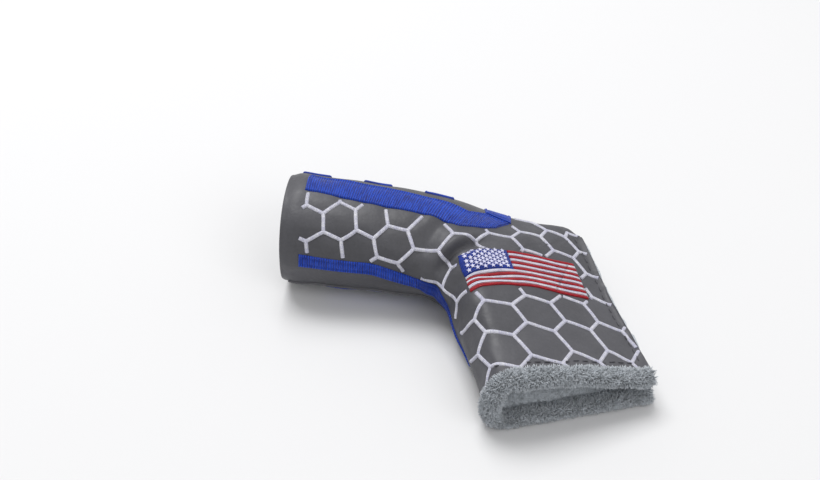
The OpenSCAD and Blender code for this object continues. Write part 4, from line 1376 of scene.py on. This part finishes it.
def toe_disc(name, at_a, at_b, depth, material):
    """A domed disc between two distances from the toe, to fit inside the given depth of the rim."""
    u = U[:-1]
    verts, faces, m = [], [], len(u)
    for at in (at_a, at_b):
        ring = sample(np.full_like(u, TOE_S + at), u, -depth)
        middle = ring.mean(0)
        for k in DISC_RINGS:
            p = middle + (ring - middle) * k
            p[:, 0] -= TOE_DOME * (1 - k * k)
            verts.append(p)
        verts.append((middle - [TOE_DOME, 0, 0])[None])
    per = m * len(DISC_RINGS) + 1
    pairs = [(j, (j + 1) % m) for j in range(m)]
    for first in (0, per):
        for low in range(first, first + per - 1 - m, m):
            faces += [(low + j, low + k, low + m + k, low + m + j) for j, k in pairs]
        last = first + per - 1
        faces += [(last - m + j, last - m + k, last) for j, k in pairs]
    faces += [(j, k, per + k, per + j) for j, k in pairs]
    obj = mesh_object(name, np.concatenate(verts), faces, material)
    tidy(obj)
    return obj


on_cover(toe_disc("toe_leather", 1.2, 2.5, LEATHER_T + 0.02, GREY_LEATHER), "toe_panel")
foam = on_cover(toe_disc("toe_pad_foam", 2.5, 4.7, LINING_AT + 0.02, FOAM), "toe_foam")
on_cover(toe_disc("toe_fleece", 4.7, 7.9, PLY_T + 0.02, FLEECE), "toe_lining")


# The fleece rolled out round the mouth
ROLL_DISTANCE = np.array([0, 0.1, 0.28, 0.45, 0.62, 0.78, 0.9, 0.97, 1.0])
ROLL_OUT = np.interp(ROLL_DISTANCE, [0, 0.28, 0.62, 0.88, 1], [-0.3, -0.6, -0.5, 0.7, 2.2])
ROLL_IN = np.interp(ROLL_DISTANCE, [0, 0.28, 0.62, 0.88, 1],
                    [PLY_T - 1.2, PLY_T - 1, PLY_T - 1.1, PLY_T - 2, PLY_T - 3])


def roll_net(u, depths, show=0.3, slim=0.0):
    """One side of the roll: show pushes it out past the heel edge, slim thins it away from the fold."""
    rows = []
    for k, d in zip(ROLL_DISTANCE, depths):
        edge = sample(np.full_like(u, MOUTH_S), u, slim * clamp01((u - u[0]) / 0.07) - d)
        edge[:, :2] += k * ROLL_LEN * ALONG
        past = show * clamp01(1 - np.minimum(u, 1 - u) / 0.03)
        edge[:, :2] += (past * (0.4 + k * 0.6))[:, None] * ACROSS
        rows.append(edge)
    net = np.array(rows)
    net[..., 2] = np.maximum(net[..., 2], 1.15)
    return net


end_u = float(u_of_fold(np.array(MOUTH_S)))
fixed_row = np.concatenate([np.linspace(0, 0.5, 71), np.linspace(0.5, end_u, 50)[1:]])
flap_row = np.linspace(end_u, 1.0, 60)
cover_roll = wall("mouth_roll_base", roll_net(fixed_row, ROLL_OUT), roll_net(fixed_row, ROLL_IN), FLEECE)
on_cover(with_pile("mouth_roll_plush", cover_roll, FLEECE, seed=3), "mouth_roll")
flap_roll = wall("flap_roll_base", roll_net(flap_row, ROLL_OUT, -2.4), roll_net(flap_row, ROLL_IN, -2.4, 1.0),
                 FLEECE)
on_flap(with_pile("flap_roll_plush", flap_roll, FLEECE, seed=5), "flap_roll")

# ---------------------------------------------------------------------------
# Room: pale sweep, soft lights, camera
# ---------------------------------------------------------------------------
# Seamless paper: matt and pale.
FLOOR_HALF = 4000
paper, t = new_material("seamless_paper_white")
shader = add(t, "ShaderNodeBsdfPrincipled", {"Base Color": colour("#dededf"), "Roughness": 0.9})
add(t, "ShaderNodeOutputMaterial", {"Surface": shader.outputs[0]})
corners = [(x * FLOOR_HALF, y * FLOOR_HALF, 0) for x, y in ((-1, -1), (1, -1), (1, 1), (-1, 1))]
floor = mesh_object("floor", corners, [(0, 1, 2, 3)], paper, smooth=False)
LIT_SPOT = Vector((0, 0, 0.02))


def soft_light(name, at, size, power):
    """A rectangular softbox turned to the cover; places in metres, power in watts."""
    data = bpy.data.lights.new(name, "AREA")
    data.shape = "RECTANGLE"
    data.size, data.size_y = size
    data.energy = power
    lamp = bpy.data.objects.new(name, data)
    bpy.context.scene.collection.objects.link(lamp)
    lamp.location = at
    lamp.rotation_euler = (LIT_SPOT - Vector(at)).to_track_quat("-Z", "Y").to_euler()


world = bpy.data.worlds.new("studio")
world.use_nodes = True
world.node_tree.nodes.clear()
sky = add(world.node_tree, "ShaderNodeBackground", {"Color": (1.0, 1.0, 1.0, 1.0), "Strength": 0.55})
add(world.node_tree, "ShaderNodeOutputWorld", {"Surface": sky.outputs[0]})
bpy.context.scene.world = world
soft_light("key_softbox", (-0.5, 0.7, 1.8), (1.3, 1.0), 31.0)
soft_light("fill_softbox", (1.2, -1.2, 1.4), (1.4, 1.2), 9.0)

CAM_AZ, CAM_EL, CAM_ROLL, CAM_DIST, CAM_LENS = -2.25, 40.09, 3.19, 0.4741, 42.26
CAM_TARGET = Vector((-0.0273, 0.0418, 0.015))
az, el, roll = (math.radians(x) for x in (CAM_AZ, CAM_EL, CAM_ROLL))
ahead = Vector((math.cos(el) * math.sin(az), math.cos(el) * math.cos(az), -math.sin(el)))
right = Vector((math.cos(az), -math.sin(az), 0))
up = right.cross(ahead)
right, up = right * math.cos(roll) + up * math.sin(roll), up * math.cos(roll) - right * math.sin(roll)
cam_data = bpy.data.cameras.new("camera")
cam_data.lens, cam_data.sensor_width = CAM_LENS, 36.0
cam_data.clip_start, cam_data.clip_end = 0.01, 50
camera = bpy.data.objects.new("camera", cam_data)
bpy.context.scene.collection.objects.link(camera)
place_at = CAM_TARGET - ahead * CAM_DIST
camera.matrix_world = Matrix(((right.x, up.x, -ahead.x, place_at.x), (right.y, up.y, -ahead.y, place_at.y),
                              (right.z, up.z, -ahead.z, place_at.z), (0, 0, 0, 1)))
bpy.context.scene.camera = camera
bpy.context.scene.view_settings.view_transform = "Standard"
